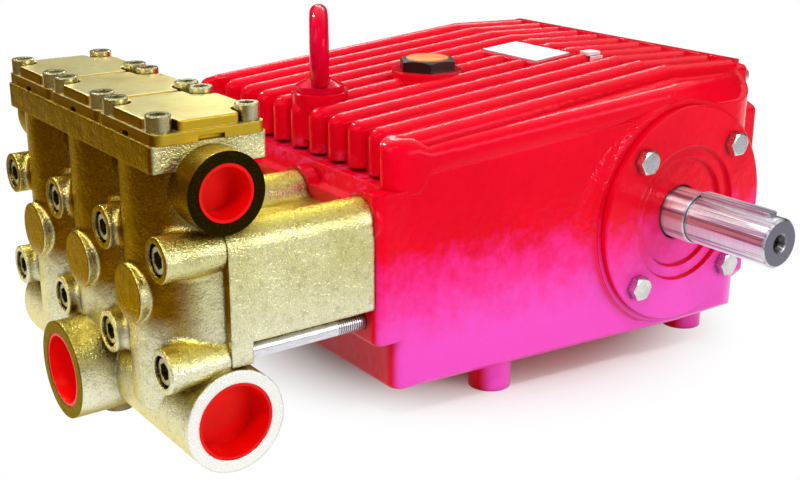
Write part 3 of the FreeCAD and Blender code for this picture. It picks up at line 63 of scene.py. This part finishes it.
class Shader:
    """Builds one material's nodes; every texture is laid out in the object's own metres."""

    def __init__(self, name):
        self.material = bpy.data.materials.new(name)
        self.material.use_nodes = True
        self.tree = self.material.node_tree
        self.surface = self.tree.nodes["Principled BSDF"]
        self.place = self.tree.nodes.new("ShaderNodeTexCoord").outputs["Object"]

    def link(self, source, target):
        self.tree.links.new(source, target)

    def fill(self, socket, value):
        """Links a socket to another one, or gives it a number or a colour."""
        if isinstance(value, bpy.types.NodeSocket):
            self.link(value, socket)
        elif isinstance(value, tuple):
            socket.default_value = (*value, 1)
        else:
            socket.default_value = value

    def node(self, kind, **inputs):
        made = self.tree.nodes.new(kind)
        for key, value in inputs.items():
            self.fill(made.inputs[key.replace("_", " ")], value)
        return made

    def set(self, **values):
        for key, value in values.items():
            self.fill(self.surface.inputs[key.replace("_", " ")], value)

    def noise(self, scale, detail=3.0, roughness=0.55, distortion=0.0, place=None):
        made = self.node("ShaderNodeTexNoise", Scale=scale, Detail=detail, Roughness=roughness,
                         Distortion=distortion, Vector=place or self.place)
        return made.outputs["Fac"]

    def pits(self, scale, smooth):
        """Soft round cells, lowest in their middles."""
        made = self.tree.nodes.new("ShaderNodeTexVoronoi")
        made.feature = "SMOOTH_F1"
        self.fill(made.inputs["Scale"], scale)
        self.fill(made.inputs["Smoothness"], smooth)
        self.link(self.place, made.inputs["Vector"])
        return made.outputs["Distance"]

    def stretch(self, x, y, z):
        made = self.tree.nodes.new("ShaderNodeMapping")
        made.inputs["Scale"].default_value = (x, y, z)
        self.link(self.place, made.inputs["Vector"])
        return made.outputs["Vector"]

    def spread(self, value, low, high, to_low=0.0, to_high=1.0):
        """Maps a value smoothly from one range to another, held at the ends."""
        made = self.node("ShaderNodeMapRange", Value=value, From_Min=low, From_Max=high,
                         To_Min=to_low, To_Max=to_high)
        made.interpolation_type = "SMOOTHSTEP"
        return made.outputs["Result"]

    def math(self, operation, a, b=0.0):
        made = self.tree.nodes.new("ShaderNodeMath")
        made.operation = operation
        self.fill(made.inputs[0], a)
        self.fill(made.inputs[1], b)
        return made.outputs["Value"]

    def product(self, first, *others):
        for other in others:
            first = self.math("MULTIPLY", first, other)
        return first

    def diagonal(self, a, b):
        """Length of the diagonal over two sides."""
        return self.math("SQRT", self.math("ADD", self.product(a, a), self.product(b, b)))

    def mix(self, factor, a, b):
        made = self.tree.nodes.new("ShaderNodeMix")
        made.data_type = "RGBA"
        for key, value in ((0, factor), (6, a), (7, b)):
            self.fill(made.inputs[key], value)
        return made.outputs[2]

    def along(self):
        """The x, y and z of the place on the object."""
        made = self.node("ShaderNodeSeparateXYZ", Vector=self.place)
        return made.outputs["X"], made.outputs["Y"], made.outputs["Z"]

    def facing(self, axis):
        """How far the surface faces along an axis of the object, from -1 to 1."""
        geometry = self.tree.nodes.new("ShaderNodeNewGeometry")
        turned = self.tree.nodes.new("ShaderNodeVectorTransform")
        turned.vector_type = "NORMAL"
        turned.convert_from = "WORLD"
        turned.convert_to = "OBJECT"
        self.link(geometry.outputs["Normal"], turned.inputs[0])
        made = self.node("ShaderNodeSeparateXYZ", Vector=turned.outputs[0])
        return made.outputs[axis]

    def shade_recesses(self, colour, dark, distance, closed, clear, strength):
        """Darkens a colour in corners and recesses, most where the surface is closed in."""
        made = self.tree.nodes.new("ShaderNodeAmbientOcclusion")
        made.samples = 6
        self.fill(made.inputs["Distance"], distance)
        return self.mix(self.spread(made.outputs["AO"], closed, clear, strength, 0.0), colour, dark)

    def relief(self, layers, edge):
        """Stacks bumps, each a height socket with its depth in metres, over softened edges."""
        rounded = self.tree.nodes.new("ShaderNodeBevel")
        rounded.samples = 4
        self.fill(rounded.inputs["Radius"], edge)
        normal = rounded.outputs["Normal"]
        for height, depth in layers:
            normal = self.node("ShaderNodeBump", Distance=depth, Height=height,
                               Normal=normal).outputs["Normal"]
        self.link(normal, self.surface.inputs["Normal"])


# Materials

def painted_pink_reflection(shader, colour, z):
    """Painted reflection: turns the drive side pink below about 0.13 m, with a ragged edge, and
    paler further down.
    """
    ragged = shader.product(shader.math("SUBTRACT", shader.noise(60.0, 5, 0.7), 0.5), 0.070)
    height = shader.math("ADD", z, ragged)
    low = shader.spread(height, 0.146, 0.112)
    lower = shader.spread(height, 0.125, 0.055)
    sideways = shader.spread(shader.facing(1), -0.35, -0.85)
    pink = shader.mix(lower, (0.86, 0.018, 0.210), (0.86, 0.082, 0.560))
    return shader.mix(shader.product(low, sideways), colour, pink)


def front_dust(shader, colour, x, y, z):
    """Pale splashes on the crankcase's front slope, between its collars."""
    dusty = shader.product(shader.spread(x, CASE_FRONT + 0.009, CASE_FRONT + 0.001),
                           shader.spread(shader.noise(55.0, 5, 0.75), 0.46, 0.64),
                           shader.spread(z, 0.180, 0.186), shader.spread(z, 0.206, 0.196),
                           shader.spread(shader.math("ABSOLUTE", y), 0.138, 0.128), 0.55)
    return shader.mix(dusty, colour, (0.80, 0.06, 0.20))


def red_enamel(name, base, deep, edge=0.0026, pink_reflection_and_dust=True, sheen=(1.0, 0.10, 0.22), level=0.4,
               skin=0.00040):
    """Thick glossy enamel over a sand casting."""
    shader = Shader(name)
    lumps = shader.noise(34.0, 3, distortion=0.3)
    peel = shader.noise(150.0, 2)
    fine = shader.noise(420.0, 3)
    colour = shader.mix(shader.spread(shader.noise(9.0, 4), 0.35, 0.7), base, deep)
    # Painted reflection: pink low on the drive side; also pale dust on the front slope
    if pink_reflection_and_dust:
        x, y, z = shader.along()
        colour = front_dust(shader, painted_pink_reflection(shader, colour, z), x, y, z)
    colour = shader.shade_recesses(colour, dimmed(deep, 0.42), 0.010, 0.15, 0.85, 0.55)
    shader.set(Base_Color=colour, Roughness=shader.spread(fine, 0.3, 0.75, 0.08, 0.17),
               Specular_IOR_Level=level, Specular_Tint=sheen)
    shader.relief([(lumps, 0.0007), (peel, skin), (fine, 0.00006)], edge)
    return shader.material


def port_faces(shader, colour, x, y, z):
    """Darker faces on the discharge ports and the front port, pale faces on the suction ports."""
    sides = shader.spread(shader.math("ABSOLUTE", y), SIDE_PORT_Y - 0.0012, SIDE_PORT_Y - 0.0004)
    front = shader.spread(x, FRONT_PORT_X + 0.0010, FRONT_PORT_X + 0.0002)
    # For each: the faces, the heights between which their tone fades in, and the tone
    for face, low, high, tone in ((sides, 0.168, 0.176, (0.018, 0.011, 0.001)),
                                  (sides, 0.146, 0.138, (0.97, 0.96, 0.90)),
                                  (front, 0.130, 0.122, (0.15, 0.085, 0.006))):
        colour = shader.mix(shader.product(face, shader.spread(z, low, high)), colour, tone)
    return colour


def cast_plating(name, bright, dull, dirt_and_shade):
    """A sand casting's sparkling skin under a pale plated coat, brown at its front and recesses
    from painted shade, with painted reflections low down and on top.
    """
    shader = Shader(name)
    x, y, z = shader.along()
    waves = shader.noise(70.0, 3)
    tint = shader.noise(120.0, 4, 0.65)
    speck = shader.noise(520.0, 2, 0.6)
    grains = shader.noise(480.0, 3, 0.6)
    colour = shader.mix(shader.spread(shader.noise(16.0, 4), 0.3, 0.72), bright, dull)
    # Painted reflection: paler low down, on faces that do not face up
    low = shader.product(shader.spread(z, 0.160, 0.075),
                         shader.spread(shader.facing(2), 0.5, 0.2, 0.0, 0.8))
    colour = shader.mix(low, colour, (0.92, 0.91, 0.70))
    # Painted reflection: faces that look up turn a deeper yellow
    top = shader.spread(shader.facing(2), 0.35, 0.85, 0.0, 0.75)
    colour = shader.mix(top, colour, (0.80, 0.68, 0.090))
    colour = shader.mix(shader.spread(tint, 0.50, 0.75, 0.0, 0.30), colour, dirt_and_shade)
    colour = shader.mix(shader.spread(speck, 0.50, 0.68, 0.0, 0.22), colour, dimmed(dull, 0.35))
    colour = shader.mix(shader.spread(speck, 0.45, 0.30, 0.0, 0.15), colour, (0.97, 0.95, 0.72))
    # Painted shade: faces towards the front turn dark brown
    painted_dark_fronts = shader.product(shader.spread(shader.facing(0), -0.40, -0.80),
                            shader.spread(z, 0.098, 0.122))
    colour = shader.mix(painted_dark_fronts, colour, (0.27, 0.125, 0.0012))
    # Painted shade in corners and recesses, in the same brown as the mottling
    colour = shader.shade_recesses(colour, dirt_and_shade, 0.026, 0.2, 0.92, 0.95)
    colour = port_faces(shader, colour, x, y, z)
    shader.set(Base_Color=colour, Metallic=1.0, Specular_Tint=(1.0, 0.86, 0.40),
               Roughness=shader.spread(grains, 0.3, 0.7, 0.25, 0.36))
    shader.relief([(waves, 0.0014), (grains, 0.00042), (shader.pits(900.0, 0.5), 0.00024)], 0.0024)
    return shader.material


def smooth_cover(name, bright, deep):
    """The valve covers: a finer casting, lighter on top and darker gold at its edges, painted light
    and shade.
    """
    shader = Shader(name)
    fine = shader.noise(900.0, 2)
    tint = shader.noise(120.0, 4)
    # Painted light and shade: lighter where the face looks up, darker gold on the sides
    colour = shader.mix(shader.spread(shader.facing(2), 0.55, 0.92), deep, bright)
    colour = shader.mix(shader.spread(shader.noise(22.0, 3), 0.4, 0.75, 0.0, 0.4), colour, deep)
    colour = shader.mix(shader.spread(tint, 0.55, 0.8, 0.0, 0.30), colour, dimmed(deep, 0.7))
    # Painted shade: faces towards the front turn dark brown
    painted_dark_fronts = shader.spread(shader.facing(0), -0.55, -0.85, 0.0, 0.9)
    colour = shader.mix(painted_dark_fronts, colour, (0.27, 0.115, 0.002))
    colour = shader.shade_recesses(colour, (0.16, 0.08, 0.004), 0.006, 0.2, 0.85, 0.7)
    shader.set(Base_Color=colour, Metallic=1.0, Specular_Tint=(1.0, 0.86, 0.45),
               Roughness=shader.spread(fine, 0.3, 0.7, 0.30, 0.46))
    shader.relief([(tint, 0.00025), (fine, 0.00010)], 0.0012)
    return shader.material


def plain_metal(name, bright, dull, rough=(0.16, 0.34), grain=(60, 60, 60), edge=0.0006,
                depth=0.00003, dark=0.25, metallic=1.0):
    """Machined or plated metal with marks that may be drawn out along one direction."""
    shader = Shader(name)
    marks = shader.noise(14.0, 4, place=shader.stretch(*grain))
    colour = shader.mix(shader.spread(shader.noise(70.0, 3), 0.3, 0.7), bright, dull)
    colour = shader.shade_recesses(colour, dimmed(dull, dark), 0.005, 0.25, 0.9, 0.9)
    shader.set(Base_Color=colour, Metallic=metallic,
               Roughness=shader.spread(marks, 0.3, 0.7, *rough))
    shader.relief([(marks, depth)], edge)
    return shader.material


def ground_steel(name, bright, dull):
    """A ground shaft: fine marks around it smear what it reflects along its length."""
    shader = Shader(name)
    x, _, z = shader.along()
    marks = shader.noise(14.0, 4, place=shader.stretch(20, 600, 20))
    rings = shader.noise(30.0, 3, place=shader.stretch(1, 12, 1))
    colour = shader.mix(shader.spread(rings, 0.35, 0.65), bright, dull)
    colour = shader.shade_recesses(colour, dimmed(dull, 0.2), 0.005, 0.25, 0.9, 0.85)
    # Painted reflections: dark streaks along the shaft
    painted_streaks = shader.noise(3.0, 4, 0.7, place=shader.stretch(70, 1.2, 70))
    colour = shader.mix(shader.spread(painted_streaks, 0.50, 0.60, 0.0, 0.85), colour, (0.32, 0.20, 0.36))
    # Painted shade: the hole in the middle of the end face is dark, as far as its rim
    rim, fade = 0.008, 0.001
    out = shader.diagonal(shader.math("SUBTRACT", x, SHAFT_X), shader.math("SUBTRACT", z, AXIS_Z))
    hole = shader.spread(out, rim + fade, rim - fade, 0.0, 0.85)
    colour = shader.mix(hole, colour, (0.035, 0.030, 0.020))
    # The end face is painted a darker grey, a painted reflection; the marks that smear reflections
    # are on the flank alone
    flank = shader.spread(shader.facing(1), -0.60, -0.90, 1.0, 0.0)
    colour = shader.mix(flank, (0.22, 0.21, 0.25), colour)
    around = shader.tree.nodes.new("ShaderNodeTangent")
    around.direction_type = "RADIAL"
    around.axis = "Y"
    shader.set(Base_Color=colour, Metallic=1.0, Tangent=around.outputs["Tangent"],
               Anisotropic=shader.product(flank, 0.93), Anisotropic_Rotation=0.25,
               Roughness=shader.spread(marks, 0.3, 0.7, 0.34, 0.46))
    shader.relief([(marks, 0.000008)], 0.0005)
    return shader.material


def stud_metal(name, bright, dull):
    """The long studs: golden heads, bright shanks and a thread at the crankcase's end."""
    shader = Shader(name)
    x, _, _ = shader.along()
    pitch = 0.002
    marks = shader.noise(14.0, 4, place=shader.stretch(8, 60, 60))
    colour = shader.mix(shader.spread(marks, 0.3, 0.7), bright, dull)
    turns = shader.math("SINE", shader.product(x, 2 * math.pi / pitch))
    thread = shader.product(shader.spread(x, STUD_THREAD_X, STUD_THREAD_X + 0.0008),
                            shader.spread(turns, -0.2, 0.5))
    # Painted shade: the thread's grooves are darkened
    colour = shader.mix(thread, colour, (0.16, 0.13, 0.14))
    head = shader.spread(x, STUD_HEAD_X, STUD_HEAD_X - 0.004)
    colour = shader.mix(head, colour, (0.42, 0.36, 0.16))
    colour = shader.shade_recesses(colour, (0.05, 0.035, 0.01), 0.006, 0.25, 0.92, 0.95)
    shader.set(Base_Color=colour, Metallic=1.0,
               Roughness=shader.spread(marks, 0.3, 0.7, 0.18, 0.32))
    shader.relief([(thread, 0.0006), (marks, 0.00003)], 0.0006)
    return shader.material


def plastic(name, base, deep, rough=(0.28, 0.42), coat=0.0, sheen=(1.0, 1.0, 1.0)):
    """Moulded plastic with slight flow marks and handling dust."""
    shader = Shader(name)
    cloud = shader.noise(45.0, 3)
    fine = shader.noise(700.0, 2)
    colour = shader.mix(shader.spread(cloud, 0.3, 0.7), base, deep)
    shader.set(Base_Color=colour, Roughness=shader.spread(fine, 0.3, 0.7, *rough),
               Coat_Weight=coat, Specular_Tint=sheen)
    shader.relief([(cloud, 0.0003), (fine, 0.00004)], 0.0008)
    return shader.material


RED = (0.82, 0.0010, 0.016)
DEEP_RED = (0.72, 0.0006, 0.012)
MATERIALS = {
    "red_paint": red_enamel("red_paint", RED, DEEP_RED),
    "painted_eye": red_enamel("painted_eye", (0.82, 0.0010, 0.026), (0.62, 0.0006, 0.026),
                              edge=0.0008, pink_reflection_and_dust=False),
    "plated_casting": cast_plating("plated_casting", (0.82, 0.79, 0.42), (0.64, 0.59, 0.23),
                                   (0.13, 0.068, 0.002)),
    "gold_cover": smooth_cover("gold_cover", (0.90, 0.86, 0.50), (0.60, 0.40, 0.03)),
    "zinc_steel": plain_metal("zinc_steel", (0.78, 0.78, 0.76), (0.58, 0.58, 0.55)),
    "ground_steel": ground_steel("ground_steel", (0.95, 0.93, 0.97), (0.88, 0.86, 0.92)),
    "red_plastic": plastic("red_plastic", (0.86, 0.0020, 0.0010), (0.74, 0.0012, 0.0006),
                           sheen=(1.0, 0.25, 0.20)),
    "black_plastic": plastic("black_plastic", (0.008, 0.004, 0.004), (0.004, 0.002, 0.002)),
    "orange_plastic": plastic("orange_plastic", (0.86, 0.27, 0.006), (0.72, 0.16, 0.004),
                              rough=(0.40, 0.50)),
    "seal_rubber": plastic("seal_rubber", (0.13, 0.0020, 0.006), (0.08, 0.0012, 0.005),
                           rough=(0.5, 0.7)),
    "bare_aluminium": plain_metal("bare_aluminium", (0.95, 0.94, 0.96), (0.90, 0.89, 0.92),
                                  rough=(0.35, 0.5), grain=(10, 400, 10), edge=0.0003,
                                  depth=0.00001, metallic=0.4),
    "level_glass": plastic("level_glass", (0.62, 0.52, 0.22), (0.5, 0.4, 0.15),
                           rough=(0.05, 0.12), coat=0.6),
}
RUN_OUT = red_enamel("red_paint_thick", RED, DEEP_RED, sheen=(1.0, 0.35, 0.55), level=0.45,
                     skin=0.0014)
STUDS = stud_metal("zinc_steel_studs", (0.84, 0.83, 0.86), (0.66, 0.65, 0.69))
COVER_SCREWS = plain_metal("zinc_steel_screws", (0.72, 0.68, 0.40), (0.56, 0.50, 0.24),
                           rough=(0.24, 0.34), dark=0.08)

for entry in frame["record"]["subparts"]:
    if entry["node"].endswith("_studs"):
        material = STUDS
    elif entry["node"].startswith("valve_cover_screws"):
        material = COVER_SCREWS
    else:
        material = MATERIALS[entry["material_slot"]]
    NODES[entry["node"]].data.materials.clear()
    NODES[entry["node"]].data.materials.append(material)


# Pieces that the CAD model leaves to this script

def add_piece(name, vertices, faces, material, smooth_angle=40.0):
    """Makes a mesh piece that rides on the pump."""
    mesh = bpy.data.meshes.new(name)
    mesh.from_pydata(vertices, [], faces)
    shape = bmesh.new()
    shape.from_mesh(mesh)
    bmesh.ops.recalc_face_normals(shape, faces=shape.faces)
    for face in shape.faces:
        face.smooth = True
    limit = math.radians(smooth_angle)
    for edge in shape.edges:
        edge.smooth = len(edge.link_faces) == 2 and edge.calc_face_angle() < limit
    shape.to_mesh(mesh)
    shape.free()
    mesh.materials.append(material)
    piece = bpy.data.objects.new(name, mesh)
    bpy.context.scene.collection.objects.link(piece)
    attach(piece, "pump")
    return piece


def join_rows(rows):
    """Corners and faces of a closed bar whose cross-sections are the rows, all of one width."""
    width = len(rows[0])
    faces = []
    for index in range(len(rows) - 1):
        here, there = index * width, (index + 1) * width
        for step in range(width):
            after = (step + 1) % width
            faces.append((here + step, here + after, there + after, there + step))
    faces.append(tuple(range(width)))
    faces.append(tuple(range((len(rows) - 1) * width, len(rows) * width)))
    return [corner for row in rows for corner in row], faces


def flare(x):
    """0 at the front of the crankcase's flared side, 1 from its kink on."""
    return (min(x, KINK_X) - CASE_FRONT) / (KINK_X - CASE_FRONT)


def flat_half(x):
    """Half width of the crankcase's side, before its rear corner turns in."""
    return FRONT_HALF + flare(x) * (KINK_HALF - FRONT_HALF)


def side_half(x):
    """Half width of the crankcase's side, round its rear corner too."""
    past = max(0.0, x - CORNER_X)
    return flat_half(x) - (CORNER_RADIUS - math.sqrt(CORNER_RADIUS ** 2 - past ** 2))


def crease_height(x):
    """Height at which the crankcase's upright side turns in to its top."""
    past = max(0.0, x - KINK_X) / (CASE_REAR - KINK_X)
    return (FRONT_CREASE + flare(x) * (KINK_CREASE - FRONT_CREASE)
            - past * (KINK_CREASE - REAR_CREASE))


def rounded_top(half, top, inward, down, inner):
    """The upper corners of a shoulder's cross-section: a quarter round, then a thin inner end."""
    steps = 6
    lip = 0.0025
    corners = []
    for step in range(steps + 1):
        turn = math.pi / 2 * step / steps
        corners.append((half - inward * (1 - math.cos(turn)), top - down * (1 - math.sin(turn))))
    return corners + [(inner, top), (inner, top - lip)]


def corner_section(x):
    """Cross-section of the shoulder where it is domed over the front corner."""
    centre, radius, depth = 0.144, 0.01525, 0.0095       # across the pump
    foot, least_top, dome, rounding = 0.186, 0.2195, 0.0085, 0.012      # upwards
    proud = 0.0003
    past = max(0.0, CASE_FRONT - x) / radius
    bend = math.sqrt(1 - min(0.98, past ** 2))
    half = centre + radius * bend if x < CASE_FRONT else flat_half(x) + proud
    inner = centre - depth * bend
    return ([(inner, foot), (half, foot)]
            + rounded_top(half, least_top + dome * bend, rounding * bend, rounding, inner))


def side_section(x):
    """Cross-section of the shoulder along the ribs; it narrows and sinks in towards the rear."""
    inner, least_width, rounding, rise = 0.151, 0.0015, 0.009, 0.0203
    narrows_at, narrow_run, narrowing = 0.03, 0.122, 0.019
    sinks_at, sink_run, sinking = 0.138, 0.0165, 0.011
    half, low = side_half(x), crease_height(x)
    top = low + rise - sinking * (max(0.0, x - sinks_at) / sink_run) ** 2
    shoulder = half
    if x > narrows_at:
        shoulder = min(half, flat_half(x) - narrowing * ((x - narrows_at) / narrow_run) ** 1.6)
        shoulder = max(shoulder, inner + least_width)
    radius = min(rounding, (shoulder - inner) * 0.9)
    # Its foot is sunk into the side, so that no gap shows under it
    foot = [(half - 0.0030, low - 0.0040), (half - 0.0002, low - 0.0006)]
    return foot + rounded_top(shoulder, top, radius, radius, inner)


def add_shoulder(side, sign):
    """A round shoulder that carries the side up to the ribs, domed over the front corner."""
    corner = [-0.2320, -0.2305, -0.2280, -0.2240, -0.2170, -0.2080]
    along = [-0.197 + 0.0155 * index for index in range(18)]
    along += [0.082, 0.098, 0.112, 0.1195, 0.127, 0.134, 0.140, 0.145, 0.150, 0.1545]
    sections = [(x, corner_section(x)) for x in corner] + [(x, side_section(x)) for x in along]
    vertices, faces = join_rows([[(x, sign * y, z) for y, z in section]
                                 for x, section in sections])
    add_piece(side + "_shoulder", vertices, faces, MATERIALS["red_paint"])


def add_boss_flank(side, sign):
    """The hollow flank by which a bearing boss runs out into the flared side."""
    lowest, climb = 0.0365, 0.012
    profile = [(0.0960, 0.1600), (0.0980, 0.1832), (0.0997, 0.1828), (0.1008, 0.1808),
               (0.1024, 0.1789), (0.1045, 0.1772), (0.1072, 0.1757), (0.1105, 0.1744),
               (0.1145, 0.1732), (0.1200, 0.1718), (0.1200, 0.1600)]
    rows = []
    for degrees in range(102, 294, 3):
        turn = math.radians(degrees)
        row = []
        for radius, y in profile:
            x = SHAFT_X + radius * math.cos(turn)
            z = AXIS_Z + radius * math.sin(turn)
            row.append((x, sign * y, min(max(z, lowest), crease_height(x) + climb)))
        rows.append(row)
    vertices, faces = join_rows(rows)
    add_piece(side + "_boss_flank", vertices, faces, RUN_OUT, 35.0)


def add_filler_insert():
    """The filler plug's orange insert, a low dome over the whole of its top."""
    old = NODES["filler_insert"]
    corners = [old.matrix_world @ Vector(corner) for corner in old.bound_box]
    middle_x, middle_y = (sum(corner[axis] for corner in corners) / 8 for axis in (0, 1))
    foot = min(corner.z for corner in corners)
    top = max(corner.z for corner in corners)
    rim, dome, rise, bulge = 0.0195, 0.0188, 0.0003, 0.0016
    rings = [(rim, foot), (rim, top - 0.0004), (dome, top + rise)]
    for degrees in (18, 36, 54, 72, 84):
        turn = math.radians(degrees)
        rings.append((dome * math.cos(turn), top + rise + bulge * math.sin(turn)))
    turns = [2 * math.pi * step / 48 for step in range(48)]
    vertices, faces = join_rows([[(middle_x + radius * math.cos(turn),
                                   middle_y + radius * math.sin(turn), z) for turn in turns]
                                 for radius, z in rings])
    piece = add_piece("filler_insert_dome", vertices, faces, MATERIALS["orange_plastic"],
                      50.0)
    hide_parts("filler_insert")


def add_rib_clip():
    """A small bright clip over one rib of the top, with a flap down the rib's near side."""
    vertices, faces = [], []
    for low, high in (((0.0530, -0.0665, 0.2505), (0.0670, -0.0545, 0.2538)),
                      ((0.0530, -0.0700, 0.2440), (0.0670, -0.0680, 0.2505))):
        start = len(vertices)
        vertices += [(x, y, z) for x in (low[0], high[0]) for y in (low[1], high[1])
                     for z in (low[2], high[2])]
        faces += [tuple(start + corner for corner in face) for face in
                  ((0, 1, 3, 2), (4, 6, 7, 5), (0, 4, 5, 1), (2, 3, 7, 6), (0, 2, 6, 4),
                   (1, 5, 7, 3))]
    add_piece("rib_clip", vertices, faces, MATERIALS["bare_aluminium"])


for side, sign in (("near", -1), ("far", 1)):
    add_shoulder(side, sign)
    add_boss_flank(side, sign)
add_filler_insert()
add_rib_clip()


# Studio: a pale floor that turns white, a bright sky behind the pump, a dimmer room in front

def make_world():
    """White to the camera; its light is bright high up, dim near the horizon and in front."""
    world = bpy.data.worlds.new("studio")
    bpy.context.scene.world = world
    world.use_nodes = True
    tree = world.node_tree
    tree.nodes.clear()
    link = tree.links.new
    place = tree.nodes.new("ShaderNodeTexCoord")
    split = tree.nodes.new("ShaderNodeSeparateXYZ")
    link(place.outputs["Generated"], split.inputs[0])
    behind = tree.nodes.new("ShaderNodeVectorMath")
    behind.operation = "DOT_PRODUCT"
    behind.inputs[1].default_value = (0.707, 0.707, 0.0)
    link(place.outputs["Generated"], behind.inputs[0])
    horizon, sky, room = (0.05, 0.035, 0.03), (1.0, 1.0, 1.0), (0.42, 0.40, 0.39)
    tone = None
    for value, low, high, below in ((split.outputs["Z"], 0.42, 0.66, horizon),
                                    (behind.outputs["Value"], -0.25, 0.40, room)):
        ramp = tree.nodes.new("ShaderNodeMapRange")
        ramp.interpolation_type = "SMOOTHSTEP"
        ramp.inputs["From Min"].default_value = low
        ramp.inputs["From Max"].default_value = high
        link(value, ramp.inputs["Value"])
        blend = tree.nodes.new("ShaderNodeMix")
        blend.data_type = "RGBA"
        blend.inputs[6].default_value = (*below, 1)
        if tone:
            link(tone, blend.inputs[7])
        else:
            blend.inputs[7].default_value = (*sky, 1)
        link(ramp.outputs["Result"], blend.inputs[0])
        tone = blend.outputs[2]
    light = tree.nodes.new("ShaderNodeBackground")
    link(tone, light.inputs["Color"])
    backdrop = tree.nodes.new("ShaderNodeBackground")
    backdrop.inputs["Color"].default_value = (1, 1, 1, 1)
    path = tree.nodes.new("ShaderNodeLightPath")
    mix = tree.nodes.new("ShaderNodeMixShader")
    link(path.outputs["Is Camera Ray"], mix.inputs["Fac"])
    link(light.outputs["Background"], mix.inputs[1])
    link(backdrop.outputs["Background"], mix.inputs[2])
    out = tree.nodes.new("ShaderNodeOutputWorld")
    link(mix.outputs["Shader"], out.inputs["Surface"])


def make_floor():
    """A pale floor that keeps the pump's shadow and turns pure white a little way from it.

    Metal mirrors that white too, with a brown zone to the left and a grey one in front.
    """
    mesh = bpy.data.meshes.new("floor")
    reach = 14.0
    mesh.from_pydata([(-reach, -reach, 0), (reach, -reach, 0), (reach, reach, 0),
                      (-reach, reach, 0)], [], [(0, 1, 2, 3)])
    floor = bpy.data.objects.new("floor", mesh)
    bpy.context.scene.collection.objects.link(floor)
    floor.location.z = -0.0004
    shader = Shader("floor")
    shader.set(Base_Color=(0.90, 0.90, 0.90), Roughness=0.9, Specular_IOR_Level=0.1)
    x, y, _ = shader.along()
    # The shadow shows inside this ellipse about a point between the feet, and fades at its rim
    centre_x, half_x, half_y = -0.03, 0.22, 0.21
    out = shader.diagonal(shader.math("DIVIDE", shader.math("SUBTRACT", x, centre_x), half_x),
                          shader.math("DIVIDE", y, half_y))
    away = shader.spread(out, 0.62, 1.25)
    path = shader.tree.nodes.new("ShaderNodeLightPath")
    seen = path.outputs["Is Camera Ray"]
    # 0 in a zone and 1 elsewhere; to the camera there are no zones
    left = shader.math("MAXIMUM", shader.spread(x, -0.76, -0.62), seen)
    front = shader.math("MAXIMUM", shader.spread(y, -0.66, -0.46), seen)
    tone = shader.mix(front, (0.52, 0.52, 0.58), (1.0, 1.0, 1.0))
    tone = shader.mix(left, (0.17, 0.10, 0.012), tone)
    glow = shader.node("ShaderNodeEmission", Color=tone)
    lit = shader.math("MAXIMUM", shader.math("MAXIMUM", seen, path.outputs["Is Glossy Ray"]),
                      path.outputs["Is Transmission Ray"])
    zoned = shader.math("SUBTRACT", 1.0, shader.product(left, front))
    mix = shader.node("ShaderNodeMixShader",
                      Fac=shader.product(lit, shader.math("MAXIMUM", away, zoned)))
    shader.link(shader.surface.outputs["BSDF"], mix.inputs[1])
    shader.link(glow.outputs["Emission"], mix.inputs[2])
    shader.link(mix.outputs["Shader"], shader.tree.nodes["Material Output"].inputs["Surface"])
    mesh.materials.append(shader.material)


def area_light(name, place, target, width, height, power):
    data = bpy.data.lights.new(name, "AREA")
    data.shape = "RECTANGLE"
    data.size = width
    data.size_y = height
    data.energy = power
    light = bpy.data.objects.new(name, data)
    bpy.context.scene.collection.objects.link(light)
    light.location = place
    light.rotation_mode = "QUATERNION"
    light.rotation_quaternion = (Vector(target) - Vector(place)).to_track_quat("-Z", "Y")


def make_camera():
    """The photograph's camera, solved from the places of the pump's features in it."""
    data = bpy.data.cameras.new("camera")
    data.sensor_width = 36.0
    data.lens = 56.63
    data.clip_start = 0.05
    data.clip_end = 60
    camera = bpy.data.objects.new("camera", data)
    bpy.context.scene.collection.objects.link(camera)
    yaw, pitch, roll = math.radians(35.957), math.radians(18.393), math.radians(0.235)
    ahead = Vector((math.sin(yaw) * math.cos(pitch), math.cos(yaw) * math.cos(pitch),
                    -math.sin(pitch)))
    camera.rotation_mode = "QUATERNION"
    camera.rotation_quaternion = (ahead.to_track_quat("-Z", "Y")
                                  @ Matrix.Rotation(roll, 3, "Z").to_quaternion())
    camera.location = (-0.7540, -0.8875, 0.4522)
    bpy.context.scene.camera = camera


make_world()
make_floor()
# Each lamp: its place and what it points at, its width and height, its power in watts
area_light("overhead", (-0.78, -0.92, 1.90), (-0.1, 0.0, 0.15), 0.20, 0.20, 11)
area_light("front_fill", (-1.50, -0.30, 1.20), (-0.2, 0.0, 0.2), 0.8, 0.8, 9)
area_light("side", (0.75, -2.0, 0.75), (0.0, 0.0, 0.1), 1.2, 0.8, 16)
area_light("rear_strip", (1.0, 1.15, 1.35), (0.0, 0.0, 0.2), 1.1, 0.12, 6)
area_light("rear_spot", (-0.6, 1.35, 1.6), (-0.1, 0.0, 0.2), 0.20, 0.20, 15)
# A weak one that only the valve covers mirror
area_light("card", (0.45, 1.15, 0.81), (-0.37, 0.0, 0.33), 0.40, 0.16, 1.0)
make_camera()
bpy.context.scene.view_settings.view_transform = "Standard"
